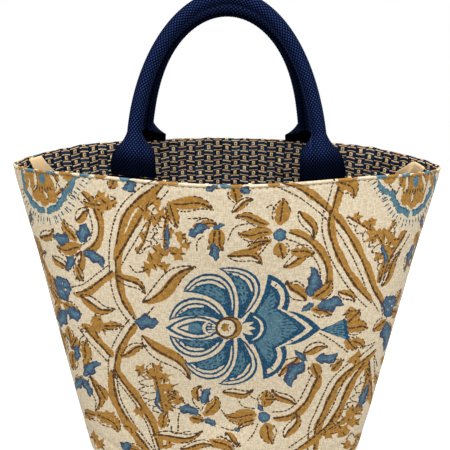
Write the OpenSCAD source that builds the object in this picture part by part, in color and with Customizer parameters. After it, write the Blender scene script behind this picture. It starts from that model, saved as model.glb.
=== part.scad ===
// Lined cloth tote bag with a lens-shaped mouth and two webbing handles.
// Millimetres, +Z up, front towards -Y, origin on the floor under the middle of the base.

/* [Body] */
// Width of the open mouth, from side seam to side seam
mouth_w = 364; // [330:1:420]
// Depth of the open mouth, from front to back
mouth_d = 150; // [130:1:190]
// Width of the base
base_w = 248; // [210:1:290]
// Depth of the base
base_d = 112; // [90:1:140]
// Height of the front and back at the middle of the rim
body_h = 264; // [220:1:320]
// How far the rim drops from the middle to the side seams
rim_drop = 6; // [0:0.5:15]
// Squareness of the mouth outline, where 2 is an ellipse and less is a lens
mouth_squareness = 1.63; // [1.5:0.01:2.2]
// Squareness of the base outline, where 2 is an ellipse and more is a rounded rectangle
base_squareness = 5; // [3:0.1:8]
// Radius of the soft edge between the walls and the base
base_edge_r = 12; // [6:0.5:18]

/* [Cloth] */
// Thickness of the printed outer cloth
outer_t = 1.2; // [0.8:0.1:2]
// Thickness of the woven lining
lining_t = 1.4; // [0.8:0.1:2.5]
// Clearance between two layers that lie on each other
layer_gap = 0.2; // [0.15:0.05:0.4]
// Gap between two cloth edges that meet at a seam
seam_gap = 0.2; // [0.1:0.05:0.4]
// Height of the rolled hem along the rim
hem_h = 3.6; // [2.5:0.1:6]
// How far the rolled hem stands out from the outer cloth
hem_bulge = 0.7; // [0.2:0.1:1.5]

/* [Handles] */
// Width of the flat webbing
webbing_w = 38; // [30:1:45]
// Thickness of the webbing
webbing_t = 1.6; // [1.2:0.1:2.2]
// Distance between the two ends of one handle, middle to middle
handle_spacing = 150; // [130:1:170]
// Length of each end that is sewn in between the outer cloth and the lining
handle_tuck = 28; // [20:1:36]
// Rise of the loop above the rim, measured in the plane of the loop
handle_rise = 140; // [120:1:165]
// Height of the bell where the flat webbing rolls up into the grip
bell_h = 34; // [28:1:42]
// Gap left between the two webbing edges along the rolled grip
roll_gap = 0.8; // [0.5:0.1:1.5]
// Inward lean of the front handle
front_lean = 12; // [6:0.5:16]
// Clearance between the two grips where the back handle leans over to the front one
grip_gap = 10; // [4:1:20]

/* [Seam bindings] */
// Width of the tape laid beside each side seam of the lining
binding_w = 14; // [10:0.5:20]
// Thickness of the folded tape
binding_t = 1.4; // [1:0.1:2]
// Distance of the tape from the side seam
binding_inset = 15; // [8:0.5:20]
// Clearance between the tape and the lining
binding_gap = 0.6; // [0.5:0.1:0.9]
// How far the right-hand tape curls away from the lining at the rim
binding_curl = 8; // [3:0.5:10]

/* [Hidden] */

cloth_colour = [0.85, 0.77, 0.60];
lining_colour = [0.16, 0.19, 0.29];
webbing_colour = [0.07, 0.10, 0.24];
binding_colour = [0.83, 0.69, 0.50];

// Layers, as distances inward from the face of the outer cloth
webbing_in = outer_t + layer_gap;
pocket_depth = webbing_t + layer_gap;
lining_in = outer_t + layer_gap;
binding_in = lining_in + lining_t + binding_gap;

// Each handle end lies in a shallow pocket that the lining bulges around
pocket_margin = 5;
pocket_slope = 10;
pocket_half = webbing_w / 2 + pocket_margin;
pocket_foot = pocket_half + pocket_slope;
tuck_z = body_h - handle_tuck;

// Handle path and rolled grip
handle_x = handle_spacing / 2;
rim_stand = 1.5;
roll_power = 1.6;
grip_narrow = 0.84;
grip_deepen = 1.12;
roll_full_angle = 360 * webbing_w / (webbing_w + roll_gap);
grip_depth = grip_deepen * ((webbing_w + roll_gap) / PI + webbing_t);
webbing_cells = 11;

// Grid of every cloth panel: fillet rows, then wall rows up to the rim
fillet_angles = [0, 30, 60, 90];
hem_foot_z = body_h - hem_h;
plain_rows = 4;
wall_heights = concat(
    [for (k = [1 : plain_rows]) mix(base_edge_r, tuck_z - pocket_slope, k / plain_rows)],
    [tuck_z, body_h - handle_tuck / 2, hem_foot_z, body_h - hem_h / 2, body_h]
);
row_count = len(fillet_angles) + len(wall_heights);
// Share of the hem's bulge at each of the three rows of the hem
hem_shape = [0, 1, 0.3];

// Columns across half a panel, as shares of the half width, closest where the handles are sewn in
pocket_cells = 4;
side_cells = 7;
half_columns = concat(
    [0.5 * (handle_x - pocket_foot), handle_x - pocket_foot] / (mouth_w / 2),
    [for (k = [0 : pocket_cells])
        (handle_x - pocket_half + 2 * pocket_half * k / pocket_cells) / (mouth_w / 2)],
    [for (k = [0 : side_cells])
        sin(mix(asin((handle_x + pocket_foot) / (mouth_w / 2)), 90, k / side_cells))]
);
columns = concat(reversed(half_columns), [0], -half_columns);

function mix(a, b, k) = a + (b - a) * k;
function limit(v) = min(1, max(0, v));
function unit(v) = v / norm(v);
function reversed(list) = [for (k = [len(list) - 1 : -1 : 0]) list[k]];

// Outline of the bag at a share f of its height
function half_width(f) = mix(base_w, mouth_w, f) / 2;
function half_depth(f) = mix(base_d, mouth_d, f) / 2;
function squareness(f) =
    mix(mouth_squareness, base_squareness, pow(limit(1 - f), 1.5));
function rim_share(c) = 1 - rim_drop * pow(abs(c), 3) / body_h;

// Point on the front wall at column c (a share of the half width), height z and an inset from the face
function wall_point(c, z, inset) =
    let (f = z / body_h, n = squareness(f))
    [
        c * (half_width(f) - inset),
        -(half_depth(f) - inset) * pow(max(0, 1 - pow(abs(c), n)), 1 / n) - seam_gap / 2,
        z * rim_share(c),
    ];

// The same, at a distance x from the middle
function wall_point_at(x, z, inset) =
    wall_point(x / (half_width(z / body_h) - inset), z, inset);

// Inset and height of a row for the layer at distance d inside the face
function row_profile(row, d) =
    row < len(fillet_angles)
        ? let (a = fillet_angles[row])
            [base_edge_r - (base_edge_r - d) * sin(a), base_edge_r - (base_edge_r - d) * cos(a)]
        : [d, wall_heights[row - len(fillet_angles)]];

function hem_share(row) =
    let (k = row - (row_count - len(hem_shape)))
    k < 0 ? 0 : hem_shape[k];

// Depth of the handle pocket at a column and row
function pocket(c, row) =
    row < len(fillet_angles) ? 0 :
    let (
        z = wall_heights[row - len(fillet_angles)],
        off_middle = abs(abs(c) * mouth_w / 2 - handle_x),
        across = limit((pocket_foot - off_middle) / pocket_slope),
        up = limit((z - tuck_z + pocket_slope) / pocket_slope)
    )
    pocket_depth * across * up;

function layer_point(c, row, d) =
    let (p = row_profile(row, d))
    wall_point(c, p[1], p[0]);

// Closed skin over a list of rings; each ring runs along the outer face and back along the inner one.
// Both faces are split along the same diagonal, so that layers with the same grid nest.
module skin(rings) {
    m = len(rings[0]);
    last = len(rings) - 1;
    function quad(a, b, c, d) = [[a, b, c], [a, c, d]];
    sides = [for (i = [0 : last - 1], j = [0 : m - 1])
        let (
            k = (j + 1) % m,
            low = i * m,
            high = low + m
        )
        each j < m / 2
            ? quad(low + j, low + k, high + k, high + j)
            : quad(low + k, high + k, high + j, low + j)];
    caps = [for (j = [0 : m / 2 - 2])
        each concat(
            quad(j, m - 1 - j, m - 2 - j, j + 1),
            quad(last * m + j, last * m + j + 1, last * m + m - 2 - j, last * m + m - 1 - j)
        )];
    polyhedron([for (r = rings) each r], concat(sides, caps));
}

// Front half of the outer cloth, from side seam to side seam, with its rolled hem
module outer_panel() {
    skin([for (row = [0 : row_count - 1]) concat(
        [for (c = columns) layer_point(c, row, -hem_bulge * hem_share(row))],
        reversed([for (c = columns) layer_point(c, row, outer_t)])
    )]);
}

// Front half of the lining, bulged around the two handle ends
module lining_panel() {
    skin([for (row = [0 : row_count - 1]) concat(
        [for (c = columns) layer_point(c, row, lining_in + pocket(c, row))],
        reversed([for (c = columns) layer_point(c, row, lining_in + lining_t + pocket(c, row))])
    )]);
}

// Flat oval that closes the bottom of a layer
module base_oval(z, t) {
    inset = base_edge_r + seam_gap;
    front = [for (c = columns) let (p = wall_point(c, 0, inset)) [p[0], p[1]]];
    back = [for (k = [len(front) - 2 : -1 : 1]) [front[k][0], -front[k][1]]];
    translate([0, 0, z])
        linear_extrude(t)
            polygon(concat(front, back));
}

// Section of the webbing rolled by a share of a full turn, as distances across and behind its front line
function rolled(s, share, behind) =
    share < 0.01 ? [s, -behind] :
    let (
        angle = roll_full_angle * share,
        r = webbing_w / (angle * PI / 180),
        a = s / webbing_w * angle,
        front_r = r + webbing_t / 2
    )
    [
        mix(1, grip_narrow, share) * (front_r - behind) * sin(a),
        mix(1, grip_deepen, share) * ((front_r - behind) * cos(a) - front_r),
    ];

webbing_s = [for (k = [0 : webbing_cells]) webbing_w * (k / webbing_cells - 0.5)];

// Ring of the flat end that follows the wall at a height; side is -1 for the left end and 1 for the right
function tucked_ring(side, z) = concat(
    [for (s = webbing_s) wall_point_at(side * (handle_x + s), z, webbing_in)],
    reversed([for (s = webbing_s) wall_point_at(side * (handle_x + s), z, webbing_in + webbing_t)])
);

// Ring of the free webbing at a point of its front line, with its width and outward directions
function free_ring(point, across, outward, share) = concat(
    [for (s = webbing_s) let (q = rolled(s, share, 0)) point + across * q[0] + outward * q[1]],
    reversed([for (s = webbing_s)
        let (q = rolled(s, share, webbing_t)) point + across * q[0] + outward * q[1]])
);

tuck_heights = [tuck_z, body_h - handle_tuck / 2, body_h, body_h + rim_stand];
handle_foot = wall_point_at(handle_x, body_h + rim_stand, webbing_in);
handle_foot_next = wall_point_at(handle_x + 1, body_h + rim_stand, webbing_in);
foot_slope = (handle_foot_next - handle_foot)[1];

// Lean that brings the back grip over to the front grip, with its clearance
back_lean = asin(
    (-2 * handle_foot[1] - handle_rise * sin(front_lean) - 2 * grip_depth - grip_gap) / handle_rise
);

// The loop is half an ellipse over the two ends; angle 0 is at the left end and 180 at the right
bell_cells = 7;
arch_cells = 26;
bell_angle = asin(bell_h / handle_rise);
left_bell_angles = [for (k = [1 : bell_cells]) asin(bell_h * k / bell_cells / handle_rise)];
loop_angles = concat(
    left_bell_angles,
    [for (k = [1 : arch_cells - 1]) mix(bell_angle, 180 - bell_angle, k / arch_cells)],
    [for (a = reversed(left_bell_angles)) 180 - a]
);

// Ring of the loop: the webbing turns from the wall's direction to the loop's plane as it rolls up
function loop_ring(lean, angle) =
    let (
        c = -cos(angle),
        h = handle_rise * sin(angle),
        share = pow(min(1, h / bell_h), roll_power),
        turn = foot_slope * (1 - share),
        up = [0, sin(lean), cos(lean)],
        slope = unit([c / handle_x, sin(angle) / handle_rise])
    )
    free_ring(
        [handle_x * c, handle_foot[1], handle_foot[2]] + up * h,
        unit([slope[0], turn, 0] + up * slope[1]),
        unit([sign(c) * turn, -cos(lean), sin(lean)]),
        share
    );

// Handle sewn in at the front: one length of webbing, flat at both ends and rolled between
module handle(lean) {
    skin(concat(
        [for (z = tuck_heights) tucked_ring(-1, z)],
        [for (a = loop_angles) loop_ring(lean, a)],
        [for (z = reversed(tuck_heights)) tucked_ring(1, z)]
    ));
}

// Tape along the inside of a side seam, laid on the back lining; curl lifts its middle near the rim
binding_heights = concat(
    [base_edge_r],
    [for (k = [0 : len(wall_heights) - 2]) wall_heights[k]]
);
binding_cells = 6;

function binding_point(share, z, d, curl) =
    let (
        edge_x = half_width(z / body_h) - binding_inset,
        along = unit(wall_point_at(edge_x, z, binding_in) - wall_point_at(edge_x - binding_w, z, binding_in)),
        lift = curl * sin(180 * share) * pow(z / body_h, 4)
    )
    wall_point_at(edge_x - binding_w * along[0] * share, z, d + lift);

module seam_binding(curl) {
    shares = [for (k = [0 : binding_cells]) k / binding_cells];
    skin([for (z = binding_heights) concat(
        [for (s = shares) binding_point(s, z, binding_in, curl)],
        reversed([for (s = shares) binding_point(s, z, binding_in + binding_t, curl)])
    )]);
}

module to_back() {
    mirror([0, 1, 0]) children();
}

module outer_front_panel() { color(cloth_colour) outer_panel(); }
module outer_back_panel() { color(cloth_colour) to_back() outer_panel(); }
module outer_base_panel() { color(cloth_colour) base_oval(0, outer_t); }
module lining_front_panel() { color(lining_colour) lining_panel(); }
module lining_back_panel() { color(lining_colour) to_back() lining_panel(); }
module lining_base_panel() { color(lining_colour) base_oval(lining_in, lining_t); }
module front_handle() { color(webbing_colour) handle(front_lean); }
module back_handle() { color(webbing_colour) to_back() handle(back_lean); }
module left_seam_binding() { color(binding_colour) to_back() mirror([1, 0, 0]) seam_binding(0); }
module right_seam_binding() { color(binding_colour) to_back() seam_binding(binding_curl); }

outer_front_panel();
outer_back_panel();
outer_base_panel();
lining_front_panel();
lining_back_panel();
lining_base_panel();
front_handle();
back_handle();
left_seam_binding();
right_seam_binding();
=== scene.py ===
"""Printed cloth tote bag: cloth, lining, webbing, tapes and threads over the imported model."""
import math

import bpy
import numpy as np
from bpy.props import FloatProperty, FloatVectorProperty, PointerProperty
from mathutils import Matrix, Vector
from mathutils.geometry import delaunay_2d_cdt


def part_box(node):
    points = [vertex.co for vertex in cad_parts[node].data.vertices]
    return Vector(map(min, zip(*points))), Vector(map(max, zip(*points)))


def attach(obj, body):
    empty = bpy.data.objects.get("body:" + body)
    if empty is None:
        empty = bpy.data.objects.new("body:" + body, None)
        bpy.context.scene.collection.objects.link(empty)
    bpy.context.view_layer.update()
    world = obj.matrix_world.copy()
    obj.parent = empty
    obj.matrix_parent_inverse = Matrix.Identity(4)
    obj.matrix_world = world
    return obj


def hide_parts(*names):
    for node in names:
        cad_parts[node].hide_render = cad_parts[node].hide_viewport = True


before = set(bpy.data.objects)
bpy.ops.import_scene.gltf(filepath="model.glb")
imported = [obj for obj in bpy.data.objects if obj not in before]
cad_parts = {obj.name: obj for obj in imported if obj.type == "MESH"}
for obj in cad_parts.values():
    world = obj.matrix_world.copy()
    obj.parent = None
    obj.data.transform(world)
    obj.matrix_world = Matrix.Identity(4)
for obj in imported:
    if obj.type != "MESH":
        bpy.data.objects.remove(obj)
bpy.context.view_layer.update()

bl_info = {
    "name": "Printed Cloth Tote",
    "version": (1, 0, 0),
    "blender": (4, 2, 0),
    "location": "View3D > Sidebar > Tote",
    "description": "Dresses the packed tote bag with printed cotton, lining, webbing and threads",
    "category": "Object",
}

MM = 0.001
PANEL_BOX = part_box("outer_front_panel")

# Inks of the print, as rows of the ink table
CLOTH, OCHRE, BROWN, BLUE, DEEP, INDIGO, SHADOW = range(7)


def linear(code):
    """A colour written as six hex digits, as the linear values that shaders take."""
    values = [int(code[k:k + 2], 16) / 255 for k in (0, 2, 4)]
    return tuple(v / 12.92 if v <= 0.04045 else ((v + 0.055) / 1.055) ** 2.4 for v in values)


def length(name, description, default):
    """A size in metres that a user can change."""
    return FloatProperty(name=name, description=description, default=default, unit="LENGTH")


def colour(name, description, code):
    """A colour that a user can change."""
    return FloatVectorProperty(
        name=name, description=description, default=linear(code), subtype="COLOR", min=0, max=1
    )


class ToteSizes(bpy.types.PropertyGroup):
    """Sizes of the dressed bag."""

    mouth_width: length("Mouth width", "From side seam to side seam", 0.366)
    mouth_depth: length("Mouth depth", "From front to back at the rim", 0.150)
    base_width: length("Base width", "Width of the base", 0.2455)
    base_depth: length("Base depth", "Depth of the base", 0.112)
    body_height: length("Body height", "Height at the middle of the rim", PANEL_BOX[1][2])
    rim_drop: length("Rim drop", "Drop of the rim towards the side seams", 0.006)
    base_edge: length("Base edge", "Radius of the soft edge round the base", 0.004)
    webbing_width: length("Webbing width", "Width of the flat webbing", 0.038)
    webbing_thickness: length("Webbing thickness", "Thickness of the webbing", 0.0016)
    handle_spacing: length("Handle spacing", "Between the two ends of a handle", 0.150)
    handle_rise: length("Handle rise", "Rise of a handle above the rim, along its lean", 0.140)
    bell_height: length("Bell height", "Height in which the webbing rolls up", 0.034)
    tape_width: length("Tape width", "Width of the tape beside a side seam", 0.014)


class ToteColours(bpy.types.PropertyGroup):
    """Colours of the bag and of the floor."""

    cloth: colour("Cloth", "Bare printed cotton", "F1E4CA")
    ochre: colour("Ochre", "Ochre ink", "BE8A39")
    brown: colour("Brown", "Brown outline ink", "523414")
    blue: colour("Blue", "Light blue ink of the large flower", "5A8797")
    deep: colour("Deep blue", "Outline ink of the large flower", "0C4F70")
    indigo: colour("Indigo", "Small blue petals", "4A7189")
    shadow: colour("Indigo shadow", "Rims of the small blue petals", "3C4864")
    lining_dark: colour("Lining dark yarn", "Navy yarns of the lining", "172336")
    lining_light: colour("Lining light yarn", "Tan yarns of the lining", "F6D0A0")
    # Painted light and shade: the raised yarns of the webbing are lighter and its hollows near black,
    # following the relief of the weave
    webbing: colour("Webbing", "Raised yarns of the webbing", "31467C")
    webbing_low: colour("Webbing hollows", "Sunk yarns of the webbing", "060A1C")
    tape: colour("Tape", "Tape beside the side seams", "FFDCA6")
    # The hem thread is real stitching; its dark brown is also painted shade for the dents that the stitches
    # press in
    thread: colour("Thread", "Stitches of the hem", "7A6440")
    floor: colour("Floor", "Floor and backdrop", "FCFCFC")


# Form of the bag, in millimetres and degrees

SEAM_GAP = 0.2
# Insets of the layers from the outside of the bag
OUTER_IN = 0.0
LINING_IN = 1.4
WEBBING_IN = 1.4
MOUTH_SQUARENESS = 1.63
BASE_SQUARENESS = 6.0
# Half the width of the flat grid on which a wall is laid out
CLOTH_SPAN = 205.0
# Rows of the form reach a little past the rim
ROW_TOP = 1.03
ROW_COUNT = 104
SHARE_COUNT = 241
CURVE_COUNT = 160
# The sides flare below the rim, draw in at it, hollow halfway up and tuck in at the foot
SIDE_FLARE = 1.5
RIM_PINCH = 0.9
SIDE_HOLLOW = 0.8
FOOT_TUCK = 1.0
# The hem is a crease, a rolled bead and a tail inside; it starts HEM_FOOT below the rim
HEM_FOOT = 4.3
HEM_CREASE = 0.9
CREASE_RISE = 0.8
HEM_R = 1.5
HEM_IN = 0.9
HEM_TURN = (10.0, 205.0)
HEM_TAIL = 6.0
TAIL_SLOPE = 0.1
# Soft folds at the foot of a wall: side, lean and place along it
FOOT_FOLDS = ((-1, 26.0, 0.70), (1, -22.0, 0.72), (-1, 40.0, 0.60), (1, -44.0, 0.62))
FOLD_DEPTH = 1.1
# The middle of a wall sags inward low down and swells outward below the rim
SAG_IN = 4.5
SWELL_OUT = 2.5
# The rim rises beside the handles and at its tips, and sags between the handles
RIM_RISE = 1.3
TIP_RISE = 0.3
RIM_SAG = 1.2


def mix(a, b, k):
    """The value a share k of the way from a to b."""
    return a + (b - a) * k


def ease(v):
    """A smooth step from 0 to 1."""
    v = np.clip(v, 0, 1)
    return v * v * (3 - 2 * v)


def swell(v, centre, spread):
    """A smooth swell of height 1 round a centre."""
    return np.exp(-((v - centre) / spread) ** 2)


class BagForm:
    """Walls of the bag in millimetres; p runs along the cloth from the middle, q up it from the base."""

    def __init__(self, sizes):
        self.mouth = (sizes.mouth_width / MM, sizes.mouth_depth / MM)
        self.base = (sizes.base_width / MM, sizes.base_depth / MM)
        self.height = sizes.body_height / MM
        self.drop = sizes.rim_drop / MM
        self.edge = sizes.base_edge / MM
        self.rows = np.linspace(0, ROW_TOP, ROW_COUNT)
        self.shares = np.linspace(0, 1, SHARE_COUNT)
        self.across, self.deep, self.reach = [], [], []
        for f in self.rows:
            n = self.squareness(f)
            half = 0.5 ** (1 / n)
            first = np.linspace(0, half, CURVE_COUNT)
            second = np.linspace(half, 0, CURVE_COUNT)[1:]
            c = np.concatenate([first, (1 - second ** n) ** (1 / n)])
            e = np.concatenate([(1 - first ** n) ** (1 / n), second])
            steps = np.hypot(np.diff(c) * self.half_width(f), np.diff(e) * self.half_depth(f))
            run = np.concatenate([[0], np.cumsum(steps)])
            self.reach.append(run[-1])
            self.across.append(np.interp(self.shares * run[-1], run, c))
            self.deep.append(np.interp(self.shares * run[-1], run, e))
        self.across = np.array(self.across)
        self.deep = np.array(self.deep)
        self.reach = np.array(self.reach)

    def half_width(self, f):
        """Half the width at a share f of the height."""
        flare = SIDE_FLARE * ease((f - 0.68) / 0.2) - RIM_PINCH * ease((f - 0.95) / 0.05)
        hollow = SIDE_HOLLOW * np.sin(math.pi * np.clip(f / 0.7, 0, 1))
        tuck = FOOT_TUCK * np.clip(1 - f / 0.15, 0, 1)
        return mix(self.base[0], self.mouth[0], f) / 2 + flare - (hollow + tuck)

    def half_depth(self, f):
        return mix(self.base[1], self.mouth[1], f) / 2

    def squareness(self, f):
        """Power of the rounded outline: near an oblong at the base, a lens at the mouth."""
        return mix(MOUTH_SQUARENESS, BASE_SQUARENESS, np.clip(1 - f, 0, 1) ** 1.5)

    def half_reach(self, q):
        """Length of the cloth from its middle to the side seam, at a height."""
        return np.interp(np.clip(q, 0, None) / self.height, self.rows, self.reach)

    def profile(self, q, inset):
        """Inset and height of a point q up the cloth, for a layer at an inset: base edge and wall."""
        q, inset = np.broadcast_arrays(np.asarray(q, float), np.asarray(inset, float))
        turn = np.clip((self.edge - q) / self.edge, 0, math.pi / 2)
        low = q < self.edge
        depth = np.where(low, self.edge - (self.edge - inset) * np.cos(turn), inset)
        z = np.where(low, self.edge - (self.edge - inset) * np.sin(turn), q)
        return depth, z

    def hem(self, q):
        """Inset and height along the rolled hem of the outer cloth."""
        depth, z = self.profile(np.minimum(q, self.height - HEM_FOOT), OUTER_IN)
        over = q - (self.height - HEM_FOOT)
        start, stop = (math.radians(a) for a in HEM_TURN)
        bead = HEM_R * (stop - start)
        angle = start + np.clip((over - HEM_CREASE) / HEM_R, 0, stop - start)
        middle = self.height - HEM_FOOT + CREASE_RISE + HEM_R * math.cos(start)
        tail = np.clip(over - HEM_CREASE - bead, 0, HEM_TAIL)
        bead_in = HEM_IN - HEM_R * np.sin(angle) - TAIL_SLOPE * tail
        bead_z = middle - HEM_R * np.cos(angle) - tail
        crease_in = np.clip(over / HEM_CREASE, 0, 1) * (HEM_IN - HEM_R * math.sin(start))
        crease_z = np.clip(over, 0, HEM_CREASE) * CREASE_RISE / HEM_CREASE
        rolled = over > HEM_CREASE
        return np.where(rolled, bead_in, depth + crease_in), np.where(rolled, bead_z, z + crease_z)

    def hem_top(self):
        """How far up the cloth the hem's tail ends."""
        start, stop = (math.radians(a) for a in HEM_TURN)
        return self.height - HEM_FOOT + HEM_CREASE + HEM_R * (stop - start) + HEM_TAIL

    def softness(self, u, z):
        """Slight waves and the sag of the cloth, as a change of inset; none at the seams or the floor."""
        f = z / self.height
        waves = (
            0.7 * np.sin(5.1 * u + 2.2 * f + 0.6) * np.sin(3.1 * f + 0.4)
            + 0.5 * np.sin(9.3 * u - 4.0 * f + 1.9)
            + 0.35 * np.sin(14.0 * u + 7.5 * f)
        )
        folds = np.zeros_like(waves)
        for side, lean, place in FOOT_FOLDS:
            along = (u - side * place) * 150 + (z - 14) * lean / 30
            folds += FOLD_DEPTH * swell(along, 0, 4.5) * swell(z, 16, 13)
        sag = swell(u, 0, 0.5) * (SAG_IN * swell(f, 0.22, 0.22) - SWELL_OUT * swell(f, 0.80, 0.16))
        return ((waves + sag) * ease(z / 40) + folds * ease(z / 6)) * (1 - u ** 2)

    def rim_height(self, c, z):
        """Height of a point after the rim's drop at the seams and its slight wave."""
        c = np.abs(c)
        wave = RIM_RISE * swell(c, 0.66, 0.2) + TIP_RISE * swell(c, 1, 0.1) - RIM_SAG * swell(c, 0, 0.36)
        return z * (1 - self.drop * c ** 3 / self.height) + wave * np.clip(z / self.height, 0, 1) ** 4

    def at(self, p, z, inset):
        """Points of the front wall at cloth position p, height z and inset."""
        p, z, inset = np.broadcast_arrays(*(np.asarray(v, float) for v in (p, z, inset)))
        f = z / self.height
        u = np.clip(p / self.half_reach(z), -1, 1)
        row = np.clip(f, 0, ROW_TOP - 1e-4) / (self.rows[1] - self.rows[0])
        i = np.clip(row.astype(int), 0, len(self.rows) - 2)
        col = np.abs(u) * (len(self.shares) - 1)
        j = np.clip(col.astype(int), 0, len(self.shares) - 2)
        a, b = row - i, col - j

        def pick(table):
            low = mix(table[i, j], table[i, j + 1], b)
            return mix(low, mix(table[i + 1, j], table[i + 1, j + 1], b), a)

        c = pick(self.across) * np.sign(u)
        e = pick(self.deep)
        inset = inset + self.softness(u, z)
        return np.stack([
            c * (self.half_width(f) - inset),
            -(self.half_depth(f) - inset) * e - SEAM_GAP / 2,
            self.rim_height(c, z),
        ], axis=-1)

    def at_x(self, x, z, inset):
        """Points of the front wall at a distance x from the middle."""
        f = np.asarray(z, float) / self.height
        n = self.squareness(f)
        c = x / (self.half_width(f) - inset)
        e = np.maximum(0, 1 - np.abs(c) ** n) ** (1 / n)
        p = np.sign(x) * self.half_reach(z) * self.share_of(np.abs(c), f)
        inset = inset + self.softness(p / self.half_reach(z), np.asarray(z, float))
        return np.stack(np.broadcast_arrays(
            c * (self.half_width(f) - inset),
            -(self.half_depth(f) - inset) * e - SEAM_GAP / 2,
            self.rim_height(c, z),
        ), axis=-1)

    def share_of(self, c, f):
        """Share of the half reach at which a column share c lies."""
        c, f = np.broadcast_arrays(np.asarray(c, float), np.asarray(f, float))
        rows = np.clip(np.round(f / (self.rows[1] - self.rows[0])).astype(int), 0, len(self.rows) - 1)
        out = np.empty(c.shape)
        for row in np.unique(rows):
            picked = rows == row
            out[picked] = np.interp(c[picked], self.across[row], self.shares)
        return out


def form_normals(place, p, q, step):
    """Outward normals of a surface place(p, q), by small steps along both directions."""
    along = place(p + step, q) - place(p - step, q)
    up = place(p, q + step) - place(p, q - step)
    normal = np.cross(along, up)
    return normal / np.maximum(np.linalg.norm(normal, axis=-1, keepdims=True), 1e-12)


# Lines and outlines on the flat cloth

def bezier(points, count=18):
    """A curve from the first point to the last, pulled by the two between."""
    a, b, c, d = (np.array(v, float) for v in points)
    t = np.linspace(0, 1, count)[:, None]
    return (1 - t) ** 3 * a + 3 * (1 - t) ** 2 * t * b + 3 * (1 - t) * t ** 2 * c + t ** 3 * d


def respaced(line, step):
    """The same line with points an even step apart."""
    run = np.concatenate([[0], np.cumsum(np.linalg.norm(np.diff(line, axis=0), axis=1))])
    count = max(3, int(round(run[-1] / step)) + 1)
    at = np.linspace(0, run[-1], count)
    return np.stack([np.interp(at, run, line[:, 0]), np.interp(at, run, line[:, 1])], axis=1)


def smooth(points, step=1.5):
    """A smooth line through the points."""
    pts = np.array(points, float)
    ends = np.concatenate([[2 * pts[0] - pts[1]], pts, [2 * pts[-1] - pts[-2]]])
    t = np.linspace(0, 1, 12, endpoint=False)[:, None]
    parts = []
    for k in range(1, len(ends) - 2):
        a, b, c, d = ends[k - 1:k + 3]
        parts.append(0.5 * (2 * b + (c - a) * t + (2 * a - 5 * b + 4 * c - d) * t ** 2
                            + (3 * b - a - 3 * c + d) * t ** 3))
    return respaced(np.concatenate(parts + [pts[-1:]]), step)


def sideways(line):
    """Unit directions to the left of a line."""
    run = np.gradient(line, axis=0)
    run /= np.maximum(np.linalg.norm(run, axis=1, keepdims=True), 1e-9)
    return np.stack([-run[:, 1], run[:, 0]], axis=1)


def closed(one, other):
    """The outline between two edges that run the same way."""
    return np.concatenate([one, other[::-1]])


def ring(angles):
    """Unit directions at angles in radians."""
    return np.stack([np.cos(angles), np.sin(angles)], axis=1)


def direction(degrees):
    """One unit direction."""
    angle = math.radians(degrees)
    return np.array([math.cos(angle), math.sin(angle)])


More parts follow.
